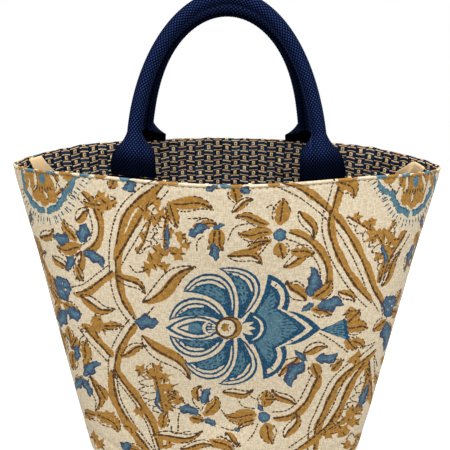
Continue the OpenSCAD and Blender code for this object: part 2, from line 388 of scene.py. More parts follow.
class BlockPrint:
    """Fields of ink on the flat cloth, in millimetres; a later field prints over an earlier one."""

    # Distance between the points of an outline
    STEP = 1.4
    # Roughness of an ink's edge
    CLEAN = 0.14
    CRISP = 0.2
    SOFT = 0.26
    ROUGH = 0.3
    RAGGED = 0.5
    # Points along a leaf, along a curled petal, round a disc and round a patch
    LEAF_COUNT = 17
    PETAL_COUNT = 40
    DISC_COUNT = 28
    PATCH_COUNT = 12
    # The ink spreads past the cut of the block
    LEAF_SPREAD = 1.12
    OCHRE_SPREAD = 1.25
    # Share of a vine at each end over which its ochre narrows
    VINE_TAPER = 0.12

    def __init__(self, seed):
        self.rng = np.random.default_rng(seed)
        self.fields = []

    def field(self, ink, outline, rough=CLEAN):
        """Ink inside an outline."""
        line = respaced(np.concatenate([outline, outline[:1]]), self.STEP)[:-1]
        self.fields.append((ink, line + self.rng.normal(0, rough, line.shape)))

    def dashes(self, line, ink=BROWN, width=1.5, dash=(1.6, 4.2), gap=(0.35, 0.9)):
        """A drawn line that the block left broken."""
        run = np.concatenate([[0], np.cumsum(np.linalg.norm(np.diff(line, axis=0), axis=1))])
        at = self.rng.uniform(0, 0.5)
        while at < run[-1] - 0.5:
            stop = min(run[-1], at + self.rng.uniform(*dash))
            where = np.linspace(at, stop, 3)
            spots = np.stack([np.interp(where, run, line[:, k]) for k in (0, 1)], axis=1)
            spots += self.rng.normal(0, 0.1, 2)
            half = width * self.rng.uniform(0.38, 0.62)
            side = sideways(spots) * half * np.array([[0.7], [1.0], [0.6]])
            self.fields.append((ink, closed(spots + side, spots - side)))
            at = stop + self.rng.uniform(*gap)

    def stroke(self, start, stop, ink=BROWN, width=1.5):
        """One short line of the block."""
        self.dashes(np.array([start, stop], float), ink, width, (2.5, 6.0), (0.5, 1.2))

    def band(self, line, low, high, ink):
        """A strip of ink beside a line, uneven in width and narrowed at both ends."""
        t = np.linspace(0, 1, len(line))
        narrow = np.clip(np.minimum(t, 1 - t) / self.VINE_TAPER, 0, 1) ** 0.6
        uneven = 1 + 0.16 * np.sin(np.arange(len(line)) * 0.33 + self.rng.uniform(0, 6))
        side = sideways(line)
        centre = (low + high) / 2
        half = (high - low) / 2 * narrow * uneven
        left, right = (line + side * away[:, None] for away in (centre + half, centre - half))
        self.field(ink, closed(left, right), self.SOFT)

    def leaf_edges(self, foot, tip, width, bend):
        """Spine, left edge and right edge of a leaf."""
        foot, tip = np.array(foot, float), np.array(tip, float)
        t = np.linspace(0, 1, self.LEAF_COUNT)[:, None]
        run = tip - foot
        left = np.array([-run[1], run[0]])
        curl = 0.05 * np.sign(bend)
        spine = foot + run * t + left * (bend * np.sin(math.pi * t) - curl * np.sin(2 * math.pi * t))
        half = width / 2 * np.sin(math.pi * t ** 0.85) ** 0.85
        side = sideways(spine) * half
        return spine, spine + side, spine - side

    def blade(self, foot, tip, width, bend=0.0):
        """Outline of a leaf."""
        return closed(*self.leaf_edges(foot, tip, width, bend)[1:])

    def leaf(self, foot, tip, width, bend, fill=1):
        """A leaf with one half filled and the other drawn in outline."""
        spine, left, right = self.leaf_edges(foot, tip, self.LEAF_SPREAD * width, bend)
        full, bare = (left, right) if fill > 0 else (right, left)
        shift = self.rng.normal(0, 0.35, 2)
        self.field(OCHRE, closed(mix(spine, bare, 0.28), full) + shift, self.SOFT)
        self.dashes(full[9:], width=1.3, gap=(0.5, 2.0))
        self.dashes(bare, width=1.5, dash=(2.0, 5.0))
        self.dashes(spine, width=2.2, dash=(4.0, 9.0), gap=(0.2, 0.4))

    def ochre_petal(self, foot, tip, width, bend=0.0):
        """A filled petal with one ragged edge."""
        spine, left, right = self.leaf_edges(foot, tip, self.OCHRE_SPREAD * width, bend)
        if self.rng.random() < 0.5:
            left, right = right, left
        ragged = mix(spine, left, self.rng.uniform(0.45, 0.95, (self.LEAF_COUNT, 1)))
        self.field(OCHRE, closed(ragged, right), self.ROUGH)
        self.dashes(spine[2:-1], width=1.8, dash=(3.0, 7.0), gap=(0.2, 0.6))
        self.dashes(left[3:], width=1.4, gap=(0.4, 1.2))
        self.dashes(right[9:], width=1.2, gap=(0.8, 2.4))

    def blue_petal(self, foot, tip, width, bend):
        """A small petal with a wavy edge, dark along its rim and in a few strokes."""
        spine, left, right = self.leaf_edges(foot, tip, width, bend)
        wave = np.linspace(0, 4.2 * math.pi, self.LEAF_COUNT)[:, None]
        left, right = (
            spine + (edge - spine) * (1 + 0.26 * np.sin(wave + self.rng.uniform(0, 6)))
            for edge in (left, right)
        )
        self.field(SHADOW, closed(left, right), self.ROUGH)
        self.field(INDIGO, closed(mix(spine, left, 0.64), mix(spine, right, 0.56)), 0.35)
        pale = np.linspace(0.2, 0.55, 7)[:, None]
        middle = slice(5, 12)
        self.field(BLUE, closed(
            mix(spine[middle], left[middle], pale), mix(spine[middle], right[middle], 0.2)
        ), self.ROUGH)
        self.dashes(mix(spine, right, 0.45)[3:14], SHADOW, 1.1, (1.5, 3.5), (0.8, 2.2))
        self.dashes(left[2:15], BROWN, 0.8, (1.0, 2.4), (1.6, 4.0))

    def vine(self, points, shade, width, depth):
        """A double line with a band of ochre along its left (1) or right (-1) side."""
        line = smooth(points)
        side = sideways(line)
        edge = shade * width / 2
        low, high = sorted((edge - shade * 0.5, edge + shade * depth))
        self.band(line, low, high, OCHRE)
        self.dashes(line + side * (edge + shade * 0.8), width=2.2, dash=(3.0, 8.0), gap=(0.2, 0.5))
        self.dashes(line - side * edge, width=1.5)

    def patch(self, centre, r):
        """A ragged patch of ochre with brown strokes across it."""
        count = self.PATCH_COUNT
        a = np.linspace(0, 2 * math.pi, count, endpoint=False) + self.rng.uniform(0, 1)
        star = np.where(np.arange(count) % 2, 0.6, 1.0)
        reach = self.OCHRE_SPREAD * r * star * self.rng.uniform(0.6, 1.4, count)
        spots = centre + ring(a) * reach[:, None]
        self.field(OCHRE, spots, 0.25)
        for k in self.rng.choice(count // 2, 2, replace=False) * 2:
            self.stroke(mix(centre, spots[k], 0.2), mix(centre, spots[k], 1.0))

    def plume(self, points, width, teeth, side):
        """A feathered leaf: ragged ochre on one side of its spine, a zigzag edge on the other."""
        line = smooth(points, 1.0)
        out = sideways(line) * side
        t = np.linspace(0, 1, len(line))
        body = width * np.sin(math.pi * np.clip(t, 0.02, 0.98)) ** 0.7
        saw = (t * teeth) % 1.0
        ragged = line + out * (body * (0.22 + 0.4 * saw))[:, None]
        plain = line - out * (0.15 * body)[:, None]
        self.field(OCHRE, closed(ragged, plain), 0.35)
        for k in np.linspace(0.15, 0.9, teeth) * (len(line) - 1):
            k = int(k)
            self.patch(line[k] + out[k] * body[k] * 0.55, 0.32 * width)
        zigzag = body * (0.55 + 0.5 * np.abs(2 * ((t * teeth * 1.5) % 1.0) - 1))
        self.dashes(line - out * zigzag[:, None], width=1.5, gap=(0.4, 1.3))
        for k in np.linspace(0.2, 0.85, teeth + 1) * (len(line) - 1):
            k = int(k)
            self.stroke(line[k] - out[k] * 0.15 * body[k], line[k] - out[k] * 0.6 * body[k], width=1.1)
        self.dashes(line, width=1.8, gap=(0.3, 0.9))

    def disc(self, ink, centre, r, stretch=1.0, rough=CRISP):
        """A round or upright-oval field."""
        a = np.linspace(0, 2 * math.pi, self.DISC_COUNT, endpoint=False)
        self.field(ink, np.array(centre) + ring(a) * [r, stretch * r], rough)

    def ball(self, centre, r):
        """A round blue heart of a small flower, paler towards its middle."""
        self.disc(SHADOW, centre, r, 1.0, 0.35)
        self.disc(INDIGO, centre, 0.84 * r, 1.0, self.ROUGH)
        self.disc(BLUE, centre, 0.55 * r, 1.0, self.ROUGH)

    def tuft(self, centre, r):
        """A ragged blue head of a small flower seen from the side."""
        centre = np.array(centre, float)
        for x, y, size in ((-0.35, 0.35, 0.75), (0.3, 0.2, 0.8), (-0.1, -0.4, 0.8), (0.25, -0.75, 0.5)):
            self.disc(SHADOW, centre + r * np.array([x, y]), size * r, 1.1, 0.6)
        for x, y, size in ((-0.3, 0.35, 0.6), (0.25, 0.15, 0.62), (-0.1, -0.4, 0.62)):
            self.disc(INDIGO, centre + r * np.array([x, y]), size * r, 1.1, 0.5)
        for x, y in ((-0.3, -0.35), (0.35, -0.1), (0.05, 0.5)):
            self.disc(CLOTH, centre + r * np.array([x, y]), 1.1)
            self.disc(BLUE, centre + r * np.array([x + 0.3, y - 0.1]), 1.5)
        for angle in (20, 80, 150, 230, 300):
            way = direction(angle)
            self.stroke(centre + 0.25 * r * way, centre + 0.95 * r * way, SHADOW, 1.2)

    def half_rosette(self, centre, facing):
        """An ochre head over a scalloped blue cup, cut off by the rim; facing is the side of the seam."""
        def at(points):
            return np.array(centre) + np.asarray(points, float) * [facing, 1]

        heart = np.array([0, -11])
        for start, stop in ((186, 262), (268, 350)):
            angle = np.radians(np.linspace(start, stop, 40))
            way = ring(angle)
            scallop = 1.6 * np.abs(np.sin(angle * 7))[:, None]
            outer, inner = (way * (r - scallop) + heart for r in (28, 22))
            self.field(BLUE, at(closed(outer, inner)), 0.6)
            self.dashes(at(inner + way), DEEP, 1.4, (1.5, 4.0), (1.0, 3.0))
        for angle in np.arange(194, 348, 7.0) + self.rng.uniform(-2, 2, 22):
            way = direction(angle)
            self.stroke(*at([way * 29.5 + heart, way * self.rng.uniform(33, 37) + heart]), DEEP, 1.3)
        self.disc(OCHRE, at((1, -13)), 14.5, 0.95, self.RAGGED)
        for spot in ((-9, -22), (-1, -25), (8, -22), (-12, -6), (12, -6)):
            self.disc(OCHRE, at(spot), 6, 1.0, self.RAGGED)
        for *ends, width in (
            ((8, 0), (12, -20), 3.4), ((-8, 0), (-13, -17), 3.4), ((-1, -17), (-4, -26), 3.0)
        ):
            _, left, right = self.leaf_edges(*at(ends), width, 0.1)
            self.field(CLOTH, closed(left, right), 0.25)
            self.dashes(left, width=1.3)
        for ink, *ends, width in ((OCHRE, (19, 0), (24, -22), 5.5), (BLUE, (25, -1), (28, -24), 4.5)):
            self.field(ink, self.blade(*at(ends), width, 0.1), self.RAGGED)
        self.disc(BLUE, at((1, -7)), 3.2, 1.7, 0.6)
        for k in range(-3, 4):
            self.stroke(*at([(2.6 * k + 1, -14), (3.4 * k + 1, -20 + abs(k))]))
        self.dashes(at(smooth([(-20, -17), (-27, -9), (-33, -2)])), width=1.5)
        self.dashes(at(smooth([(-20, -17), (-15, -8), (-13, -1)])), width=1.5)
        self.disc(OCHRE, at((-27, -4)), 5.5, 0.8, 0.6)
        self.field(BLUE, self.blade(*at(((-25, -19), (-38, -3))), 6.0, 0.1), 0.6)
        for k in range(6):
            start = np.array([-29 - 2.6 * k, -19 + 3.4 * k])
            self.stroke(*at([start, start + [-5, -3]]), DEEP, 1.3)

    def curled_petal(self, outer, inner, place):
        """A petal of the large flower: dark outline, pale bands along its back, blue fill."""
        back = bezier(outer, self.PETAL_COUNT)
        front = bezier(inner, self.PETAL_COUNT)
        self.field(DEEP, place(closed(back, front)))
        gap = np.linalg.norm(front - back, axis=1)
        way = (front - back) / np.maximum(gap, 1e-6)[:, None]

        def strip(ink, low, high, start, stop, rough=0.18):
            """A band of ink between two distances from the petal's back."""
            last = self.PETAL_COUNT - 1
            cut = slice(int(start * last), int(stop * last) + 1)
            t = np.linspace(0, 1, len(back[cut]))
            narrow = np.clip(np.minimum(t, 1 - t) * 7, 0, 1) ** 0.7
            room = np.maximum(gap[cut] - 1.6, 0.2)
            a = np.minimum(low, room)
            b = np.maximum(np.minimum(a + (high - low) * narrow, room), a + 0.05)
            near, far = (back[cut] + way[cut] * away[:, None] for away in (a, b))
            self.field(ink, place(closed(near, far)), rough)

        strip(CLOTH, 2.3, 4.9, 0.04, 0.95)
        strip(CLOTH, 6.9, 9.4, 0.12, 0.70)
        strip(BLUE, 11.2, 40, 0.18, 0.84, self.RAGGED)
        for share in (0.58, 0.72, 0.86):
            streak = mix(back, front, share)[8:34]
            self.dashes(place(streak), DEEP, 1.6, (1.5, 4.0), (1.2, 4.5))

    def lobed_leaf(self, place):
        """The three-lobed leaf on the axis of the large flower."""
        layers = (
            (DEEP, self.CLEAN, ((13, 6), (24, 14), (31, 32), (32, 51)),
             ((32, 51), (44, 49), (56, 32), (49, 16)), ((49, 16), (60, 17), (70, 9), (78, 0))),
            (CLOTH, self.CRISP, ((15.5, 5), (27.5, 13.5), (34.6, 34), (35.4, 45.4)),
             ((35.4, 45.4), (43.5, 43), (51.2, 31), (44.8, 18.4)),
             ((44.8, 18.4), (56, 14.2), (65.4, 7), (71.4, 0))),
            (DEEP, 0.25, ((13, 6), (25, 15), (32.5, 32), (34.6, 41.4)),
             ((34.6, 41.4), (40.5, 38.5), (46.8, 29), (41.2, 19.2)),
             ((41.2, 19.2), (52, 12.6), (61, 6.2), (66.2, 0))),
            (BLUE, self.RAGGED, ((16, 6), (26, 16), (33, 29), (35.8, 36)),
             ((35.8, 36), (38.8, 33.5), (42, 27), (38, 19)), ((38, 19), (47.5, 11.5), (55, 5.6), (59.5, 0))),
        )
        for ink, rough, *curves in layers:
            upper = np.concatenate([bezier(curve)[:-1] for curve in curves] + [[curves[-1][-1]]])
            self.field(ink, place(closed(upper, (upper * [1, -1])[:-1])), rough)
        for side in (1, -1):
            for k in range(7):
                foot = np.array([33 + 0.4 * k, side * (13 + 4.0 * k)])
                tip = foot + np.array([9.5 - 0.8 * k, side * 4.5])
                self.stroke(*place(np.array([foot, tip])), DEEP, 1.3)
        for k in range(-3, 4):
            foot = np.array([45.0, 2.6 * k])
            self.stroke(*place(np.array([foot, foot + [14.0 - abs(k), 1.5 * k]])), DEEP, 1.3)
        a = np.linspace(-1.25, 1.25, 24)
        cup = ring(a) * [21.5, 17] + [12, 0]
        self.field(DEEP, place(np.concatenate([cup, [[10, 0]]])), self.CRISP)
        rim, low = (ring(a * 0.8) * size + [12, 0] for size in ([18.5, 14.5], [16, 13.5]))
        self.field(CLOTH, place(closed(rim, low)))
        for turn in (-34, 0, 34):
            tip = direction(turn) * [13, 11] + [11, 0]
            self.field(CLOTH, place(self.blade((9, 0), tip, 4.4)))

    def tip_leaf(self, place):
        """The pointed petal opposite the lobed leaf."""
        for ink, foot, tip, width in (
            (DEEP, -5, -52, 23), (CLOTH, -8, -48, 19), (DEEP, -8, -43, 14), (BLUE, -21, -36, 9.5)
        ):
            self.field(ink, place(self.blade((foot, 0), (tip, 0), width)), self.CRISP)
        self.field(CLOTH, place(np.array([(-33, 3), (-40.5, 0), (-33, -3)])))
        a = np.linspace(-1.2, 1.2, 14)
        arc, low = (ring(a) * size + [-11, 0] for size in ([-10.5, 8], [-7.8, 7]))
        self.field(CLOTH, place(closed(arc, low)))
        for y in (-3.2, 0, 3.2):
            self.stroke(*place(np.array([(-17.0, y), (-9.0, 0.6 * y)])), CLOTH, 1.6)

    def large_flower(self, centre):
        """A palmette of curled petals round a rosette, the same on both sides of its axis."""
        centre = np.array(centre, float)
        petals = (
            (((-8, 57), (14, 64), (46, 44), (11, 9)), ((-8, 57), (4, 50), (11, 34), (8, 10))),
            (((-37, 34), (-28, 61), (13, 62), (5, 10)), ((-37, 34), (-22, 35), (-5, 28), (-1, 13))),
            (((-49, 7), (-47, 30), (-17, 41), (-3, 11)), ((-49, 7), (-36, 12.5), (-18, 14), (-7, 8))),
        )

        def upright(points):
            return centre + np.asarray(points)

        def mirrored(points):
            return centre + np.asarray(points) * [1, -1]

        for place in (upright, mirrored):
            for outer, inner in petals:
                self.curled_petal(outer, inner, place)
        self.lobed_leaf(upright)
        self.tip_leaf(upright)
        self.disc(BROWN, centre + [0.8, 0.3], 11.4, 1.0, self.ROUGH)
        self.disc(OCHRE, centre + [1.6, 0], 10.0)
        self.disc(BROWN, centre + [-0.6, 0.2], 9.0, 1.08)
        self.disc(CLOTH, centre + [-1.0, 0.2], 7.4, 1.08)
        self.disc(OCHRE, centre + [-2.2, 0.8], 3.6, 1.1, self.RAGGED)
        for angle in range(0, 360, 60):
            self.disc(BROWN, centre + [-1.2, 0.3] + direction(angle) * 3.4, 0.9)

    def bell(self, apex, tip_up, tip_down):
        """A small open flower seen from the side."""
        apex, up, down = (np.array(v, float) for v in (apex, tip_up, tip_down))
        t = np.linspace(0, 1, 19)[:, None]
        mouth = mix(up, down, t)
        out = mouth.mean(axis=0) - apex
        out /= np.linalg.norm(out)
        mouth = mouth + out * 2.2 * np.abs(np.sin(t * 4 * math.pi))
        self.field(DEEP, np.concatenate([[apex], mouth]), 0.25)
        self.field(BLUE, np.concatenate([[mix(apex, mouth[9], 0.18)], mix(apex, mouth, 0.86)]), self.ROUGH)
        for k in (3, 6, 9, 12, 15):
            self.stroke(mix(apex, mouth[k], 0.45), mix(apex, mouth[k], 0.95), DEEP, 1.2)


# Layout of the print, in millimetres along the flat front from its middle and up from the base

# Foot, tip, width, bend and filled side
HALF_LEAVES = (
    (-127, 224, -114, 234, 9, 0.05, -1), (-168, 203, -150, 215, 9, -0.12, -1),
    (-125, 159, -93, 150, 10, -0.12, -1), (-92, 181, -67, 165, 8.5, 0.10, 1),
    (-90, 105, -67, 116, 9, 0.08, -1), (-70, 157, -25, 192, 14, 0.02, -1),
    (-71, 127, -31, 82, 13, 0.04, 1), (-65, 26, -20, 30, 9, -0.10, -1), (-3, 68, 25, 72, 8, -0.12, -1),
    (62, 58, 41, 73, 8, 0.05, 1), (53, 24, 63, 50, 9, -0.10, -1), (0, 203, 28, 194, 9, 0.14, 1),
    (45, 191, 71, 203, 9, 0.06, -1), (57, 240, 69, 214, 9, 0.10, 1), (3, 240, 20, 251, 7, 0.08, -1),
    (66, 160, 49, 179, 12, 0.05, -1), (62, 106, 47, 86, 11, -0.05, 1), (66, 110, 86, 116, 9, 0.12, -1),
    (92, 168, 107, 157, 8, 0.10, 1), (-153, 190, -135, 179, 8, 0.05, -1),
    (-122, 199, -124, 172, 9, -0.06, 1), (133, 168, 152, 196, 9, 0.05, -1),
    (-118, 84, -115, 48, 10, 0.14, 1), (-150, 96, -140, 120, 10, 0.05, 1), (-40, 12, -8, 14, 8, 0.10, -1),
    (0, 28, 14, 15, 7, -0.05, 1), (-25, 60, -22, 76, 9, 0.12, 1), (-178, 170, -160, 192, 10, 0.08, 1),
    (-172, 150, -158, 128, 10, -0.06, 1), (168, 178, 182, 200, 10, 0.08, -1),
    (160, 80, 175, 60, 10, 0.06, 1), (-160, 60, -148, 38, 10, -0.06, -1), (150, 40, 160, 66, 9, 0.08, 1),
)
# Foot, tip, width and bend
OCHRE_PETALS = (
    (-126, 206, -139, 224, 9, 0.06), (-121, 202, -147, 200, 10, 0.10), (-128, 186, -121, 172, 6, 0.0),
    (-154, 172, -148, 152, 9, 0.1), (-143, 150, -126, 142, 8, 0.05), (-147, 150, -161, 160, 7, 0.0),
    (-146, 146, -156, 128, 9, 0.0), (-32, 44, -19, 40, 8, 0.0), (-19, 44, -9, 65, 11, -0.10),
    (35, 54, 37, 72, 11, 0.0), (29, 46, 0, 45, 12, 0.08), (36, 39, 43, 18, 12, -0.05),
    (34, 62, 45, 63, 6, 0.0), (28, 42, 12, 31, 6, -0.1), (41, 228, 44, 251, 12, 0.0),
    (36, 222, 8, 223, 10, 0.05), (34, 229, 5, 236, 7, -0.06), (41, 214, 45, 199, 11, 0.0),
    (36, 216, 20, 211, 5, -0.1), (71, 161, 85, 178, 10, -0.10), (70, 153, 87, 145, 10, 0.10),
    (74, 101, 80, 85, 9, 0.0), (90, 92, 101, 103, 7, 0.1), (100, 134, 121, 131, 11, 0.05),
    (100, 137, 113, 149, 10, 0.0), (101, 124, 111, 112, 9, 0.0), (-28, 228, -8, 229, 8, 0.08),
    (-9, 227, -16, 208, 7, 0.1), (-8, 227, -3, 207, 7, -0.05), (-48, 246, -11, 242, 10, 0.08),
    (-47, 248, -40, 225, 8, 0.0), (150, 146, 160, 160, 9, 0.0), (148, 142, 162, 136, 10, 0.0),
    (142, 136, 126, 128, 9, 0.0), (144, 132, 152, 112, 8, 0.0), (-122, 84, -116, 104, 8, 0.05),
    (-134, 104, -140, 84, 10, 0.05), (-126, 112, -140, 116, 8, 0.0), (-116, 47, -94, 28, 12, 0.12),
    (-114, 44, -128, 40, 7, -0.1), (-126, 82, -136, 70, 7, 0.0), (142, 98, 150, 88, 8, 0.0),
    (133, 82, 148, 72, 8, -0.1), (88, 262, 104, 246, 12, 0.2), (-92, 262, -96, 253, 7, 0.0),
    (172, 210, 180, 196, 10, 0.0), (166, 196, 160, 176, 8, 0.0), (-186, 200, -168, 190, 10, 0.1),
    (-180, 120, -168, 100, 12, 0.1), (-172, 90, -160, 78, 11, 0.0), (176, 150, 186, 130, 11, 0.0),
    (172, 104, 184, 90, 11, 0.0), (150, 30, 162, 18, 12, 0.0), (-150, 20, -136, 8, 10, 0.0),
    (-57, 32, -51, 50, 8, 0.05), (-146, 98, -152, 122, 10, 0.0), (106, 122, 118, 112, 8, 0.1),
    (14, 206, 30, 214, 7, 0.0), (-104, 60, -112, 76, 8, 0.0), (-90, 14, -70, 8, 9, 0.0),
    (118, 22, 132, 10, 8, 0.0), (4, 262, 7, 248, 9, 0.0), (150, 256, 158, 262, 8, 0.0),
    (-129, 120, -136, 106, 9, 0.0), (-123, 98, -119, 118, 10, 0.05), (-106, 133, -86, 135, 6, 0.0),
    (-139, 128, -136, 112, 8, 0.0), (-14, 22, 8, 8, 9, 0.1), (50, 206, 70, 200, 9, 0.1),
)
BLUE_PETALS = (
    (-122, 206, -117, 223, 13, 0.0), (-133, 206, -151, 210, 11, 0.05), (-120, 199, -102, 185, 10, 0.14),
    (-130, 194, -137, 180, 9, 0.0), (-137, 146, -128, 134, 14, 0.1), (-140, 144, -150, 122, 13, -0.05),
    (-77, 139, -56, 139, 14, 0.0), (-41, 55, -25, 44, 10, 0.12), (-19, 42, -9, 33, 6, 0.08),
    (-22, 57, -13, 73, 9, 0.05), (34, 50, 29, 58, 5, 0.0), (-31, 220, -14, 227, 9, 0.1),
    (-11, 226, -2, 231, 4.5, 0.0), (-11, 214, -9, 197, 8, 0.0), (69, 163, 67, 191, 12, -0.14),
    (75, 156, 98, 155, 13, 0.05), (72, 158, 62, 150, 6, 0.0), (67, 102, 58, 75, 13, -0.18),
    (76, 104, 95, 111, 10, -0.16), (70, 102, 58, 113, 5.5, 0.0), (142, 134, 143, 102, 15, 0.08),
    (119, 52, 127, 75, 9, 0.0), (-47, 228, -51, 204, 4, 0.05), (-60, 75, -54, 49, 3.5, -0.12),
    (131, 206, 134, 186, 4.5, 0.1), (-125, 82, -107, 97, 10, 0.1), (-125, 80, -120, 61, 8, 0.05),
    (-127, 80, -138, 61, 9, -0.05), (-130, 112, -131, 94, 7, 0.0), (-91, 10, -84, 18, 11, 0.0),
    (8, 31, 14, 29, 4, 0.0), (170, 200, 162, 180, 10, 0.0), (-160, 56, -172, 42, 12, 0.0),
    (-176, 112, -184, 98, 12, 0.0), (174, 98, 182, 82, 13, 0.0), (-8, 264, -18, 258, 6, 0.0),
    (10, 262, 17, 256, 8, 0.0), (-74, 262, -86, 255, 10, 0.1),
)
# Ochre side, and points
VINES = (
    (1, ((-57, 264), (-73, 251), (-86, 236), (-92, 218), (-94.5, 198), (-94, 178), (-91, 160), (-84, 146),
         (-79, 139))),
    (1, ((-79, 140), (-86, 130), (-93, 117), (-97, 106), (-99, 94), (-99, 84))),
    (-1, ((-49, 258), (-60, 243), (-70, 225), (-80, 207), (-89, 191))),
    (1, ((-96, 187), (-108, 177), (-119, 168), (-132, 163))),
    (1, ((-124, 246), (-114, 236), (-109, 222), (-111, 210), (-118, 203), (-126, 200))),
    (1, ((-126, 131), (-115, 118), (-107, 109), (-100, 101))),
    (1, ((40, 263), (58, 253), (75, 239), (90, 223), (102, 205), (113, 184), (122, 164), (134, 146))),
    (1, ((80, 239), (79, 222), (85, 202), (94, 185), (106, 168), (121, 152))),
    (1, ((89, 265), (85, 250), (81, 236))),
    (1, ((47, 219), (60, 213), (71, 202), (78, 188), (78, 174), (72, 162))),
    (-1, ((42, 47), (56, 50), (66, 60), (72, 74), (77, 90))),
    (1, ((130, 112), (118, 104), (104, 95), (93, 82), (87, 66), (82, 50), (77, 34), (76, 10))),
    (1, ((118, 101), (107, 86), (100, 68), (95, 52), (87, 38), (75, 26), (58, 12))),
    (-1, ((128, 100), (131, 84), (136, 66), (140, 50))),
    (1, ((133, 170), (140, 186), (152, 202), (160, 212))),
    (1, ((-190, 196), (-176, 184), (-166, 170), (-160, 158))),
    (1, ((150, 60), (160, 48), (170, 34))),
)
STEMS = (
    (-1, ((-95, 92), (-95, 76), (-92, 60), (-83, 40), (-74, 25), (-64, 10))),
    (1, ((-98, 92), (-92, 80), (-79, 60), (-69, 40), (-64, 25), (-60, 10))),
)
# Four points, width, teeth and ragged side
PLUMES = (
    ((-46, 246), (-50, 226), (-51, 206), (-60, 188), 10, 4, 1),
    ((-120, 241), (-110, 239), (-100, 240), (-91, 246), 9, 3, -1),
    ((-54, 46), (-57, 62), (-60, 80), (-63, 100), 17, 5, -1),
    ((-126, 127), (-115, 131), (-104, 134), (-92, 134), 7, 3, 1),
    ((131, 174), (134, 192), (127, 212), (98, 232), 12, 5, -1),
    ((126, 92), (121, 70), (115, 52), (88, 29), 11, 5, 1),
    ((-46, 72), (-44, 64), (-42, 58), (-40, 66), 8, 3, 1),
    ((-60, 236), (-64, 222), (-68, 210), (-74, 200), 7, 3, -1),
    ((140, 205), (137, 214), (140, 219), (145, 222), 7, 2, 1),
    ((-150, 240), (-142, 246), (-134, 250), (-128, 256), 6, 2, 1),
)
# Centre and radius
PATCHES = (
    (-58, 247, 6), (-66, 236, 5), (-57, 230, 4), (-53, 236, 5), (-55, 203, 6), (-60, 194, 6),
    (-66, 188, 5), (-37, 218, 5), (-33, 211, 4), (-39, 203, 5), (-51, 190, 4), (-102, 43, 6),
    (-122, 40, 6), (-119, 18, 6), (-112, 12, 5), (-136, 24, 6), (113, 48, 7), (104, 30, 7), (92, 28, 5),
    (115, 38, 6), (128, 66, 6), (110, 14, 5), (117, 8, 5), (-73, 92, 5), (-65, 88, 6), (-42, 62, 5),
    (141, 208, 6), (122, 212, 6), (128, 195, 5), (-104, 246, 5), (-98, 240, 6), (-84, 34, 6),
    (-76, 50, 5), (-50, 16, 5), (112, 104, 6), (-112, 130, 7), (-105, 132, 5), (-110, 140, 5),
    (104, 148, 5), (-160, 168, 6), (-150, 150, 6),
)
# Three points each
DRAWN_CURVES = (
    ((0, 216), (6, 228), (22, 231)), ((-24, 206), (-24, 214), (-19, 220)),
    ((16, 216), (20, 211), (34, 218)), ((24, 202), (29, 208), (34, 216)),
    ((-32, 234), (-18, 235), (-10, 231)), ((-4, 51), (2, 42), (12, 37)), ((-4, 33), (8, 30), (24, 37)),
    ((20, 20), (26, 28), (30, 38)), ((20, 68), (25, 63), (30, 62)), ((12, 60), (16, 54), (28, 52)),
    ((-29, 72), (-29, 60), (-22, 50)), ((-5, 25), (5, 20), (14, 17)),
    ((132, 168), (140, 186), (152, 200)), ((128, 163), (134, 150), (136, 140)),
    ((112, 150), (104, 145), (88, 136)), ((50, 176), (58, 178), (64, 172)),
    ((78, 130), (90, 122), (104, 110)), ((110, 125), (118, 115), (130, 116)),
    ((130, 104), (134, 96), (136, 90)), ((-128, 106), (-126, 118), (-121, 123)),
    ((-72, 134), (-66, 146), (-60, 154)), ((-80, 190), (-74, 184), (-64, 188)),
    ((-128, 172), (-126, 184), (-124, 192)), ((30, 243), (34, 246), (38, 240)),
    ((-48, 36), (-46, 28), (-30, 30)), ((-42, 30), (-41, 48), (-34, 54)),
    ((108, 20), (114, 26), (120, 16)),
)
# Place along the rim, and ink
HEM_BITS = (
    (-186, OCHRE), (-174, BLUE), (-160, OCHRE), (-151, BLUE), (-138, OCHRE), (-118, BLUE), (-104, OCHRE),
    (-84, BLUE), (-52, OCHRE), (-44, OCHRE), (-2, BLUE), (6, OCHRE), (36, OCHRE), (94, OCHRE),
    (102, OCHRE), (128, BLUE), (140, OCHRE), (152, BLUE), (166, OCHRE), (178, BLUE), (188, OCHRE),
)
# Width of the double line and of the ochre beside it
VINE_SIZE = (5.0, 6.0)
STEM_SIZE = (2.4, 6.4)
# Centre and radius
TUFTS = (((-142, 163), 8.8), ((144, 148), 8.4))
BALLS = (((41.5, 220), 5.6), ((35, 44), 5.6))
LARGE_FLOWER = (1, 134)
BELL_FLOWER = ((78, 133), (99, 142), (103, 122))
# Centre, and side of the seam
HALF_ROSETTES = (((163, 264), 1), ((-160, 264), -1))
# Loose leaves up each side: how many, the first one's height and the step between them
SIDE_LEAVES = (9, 26, 23)
HEM_HEIGHT = 264.5
FRONT_SEED = 7


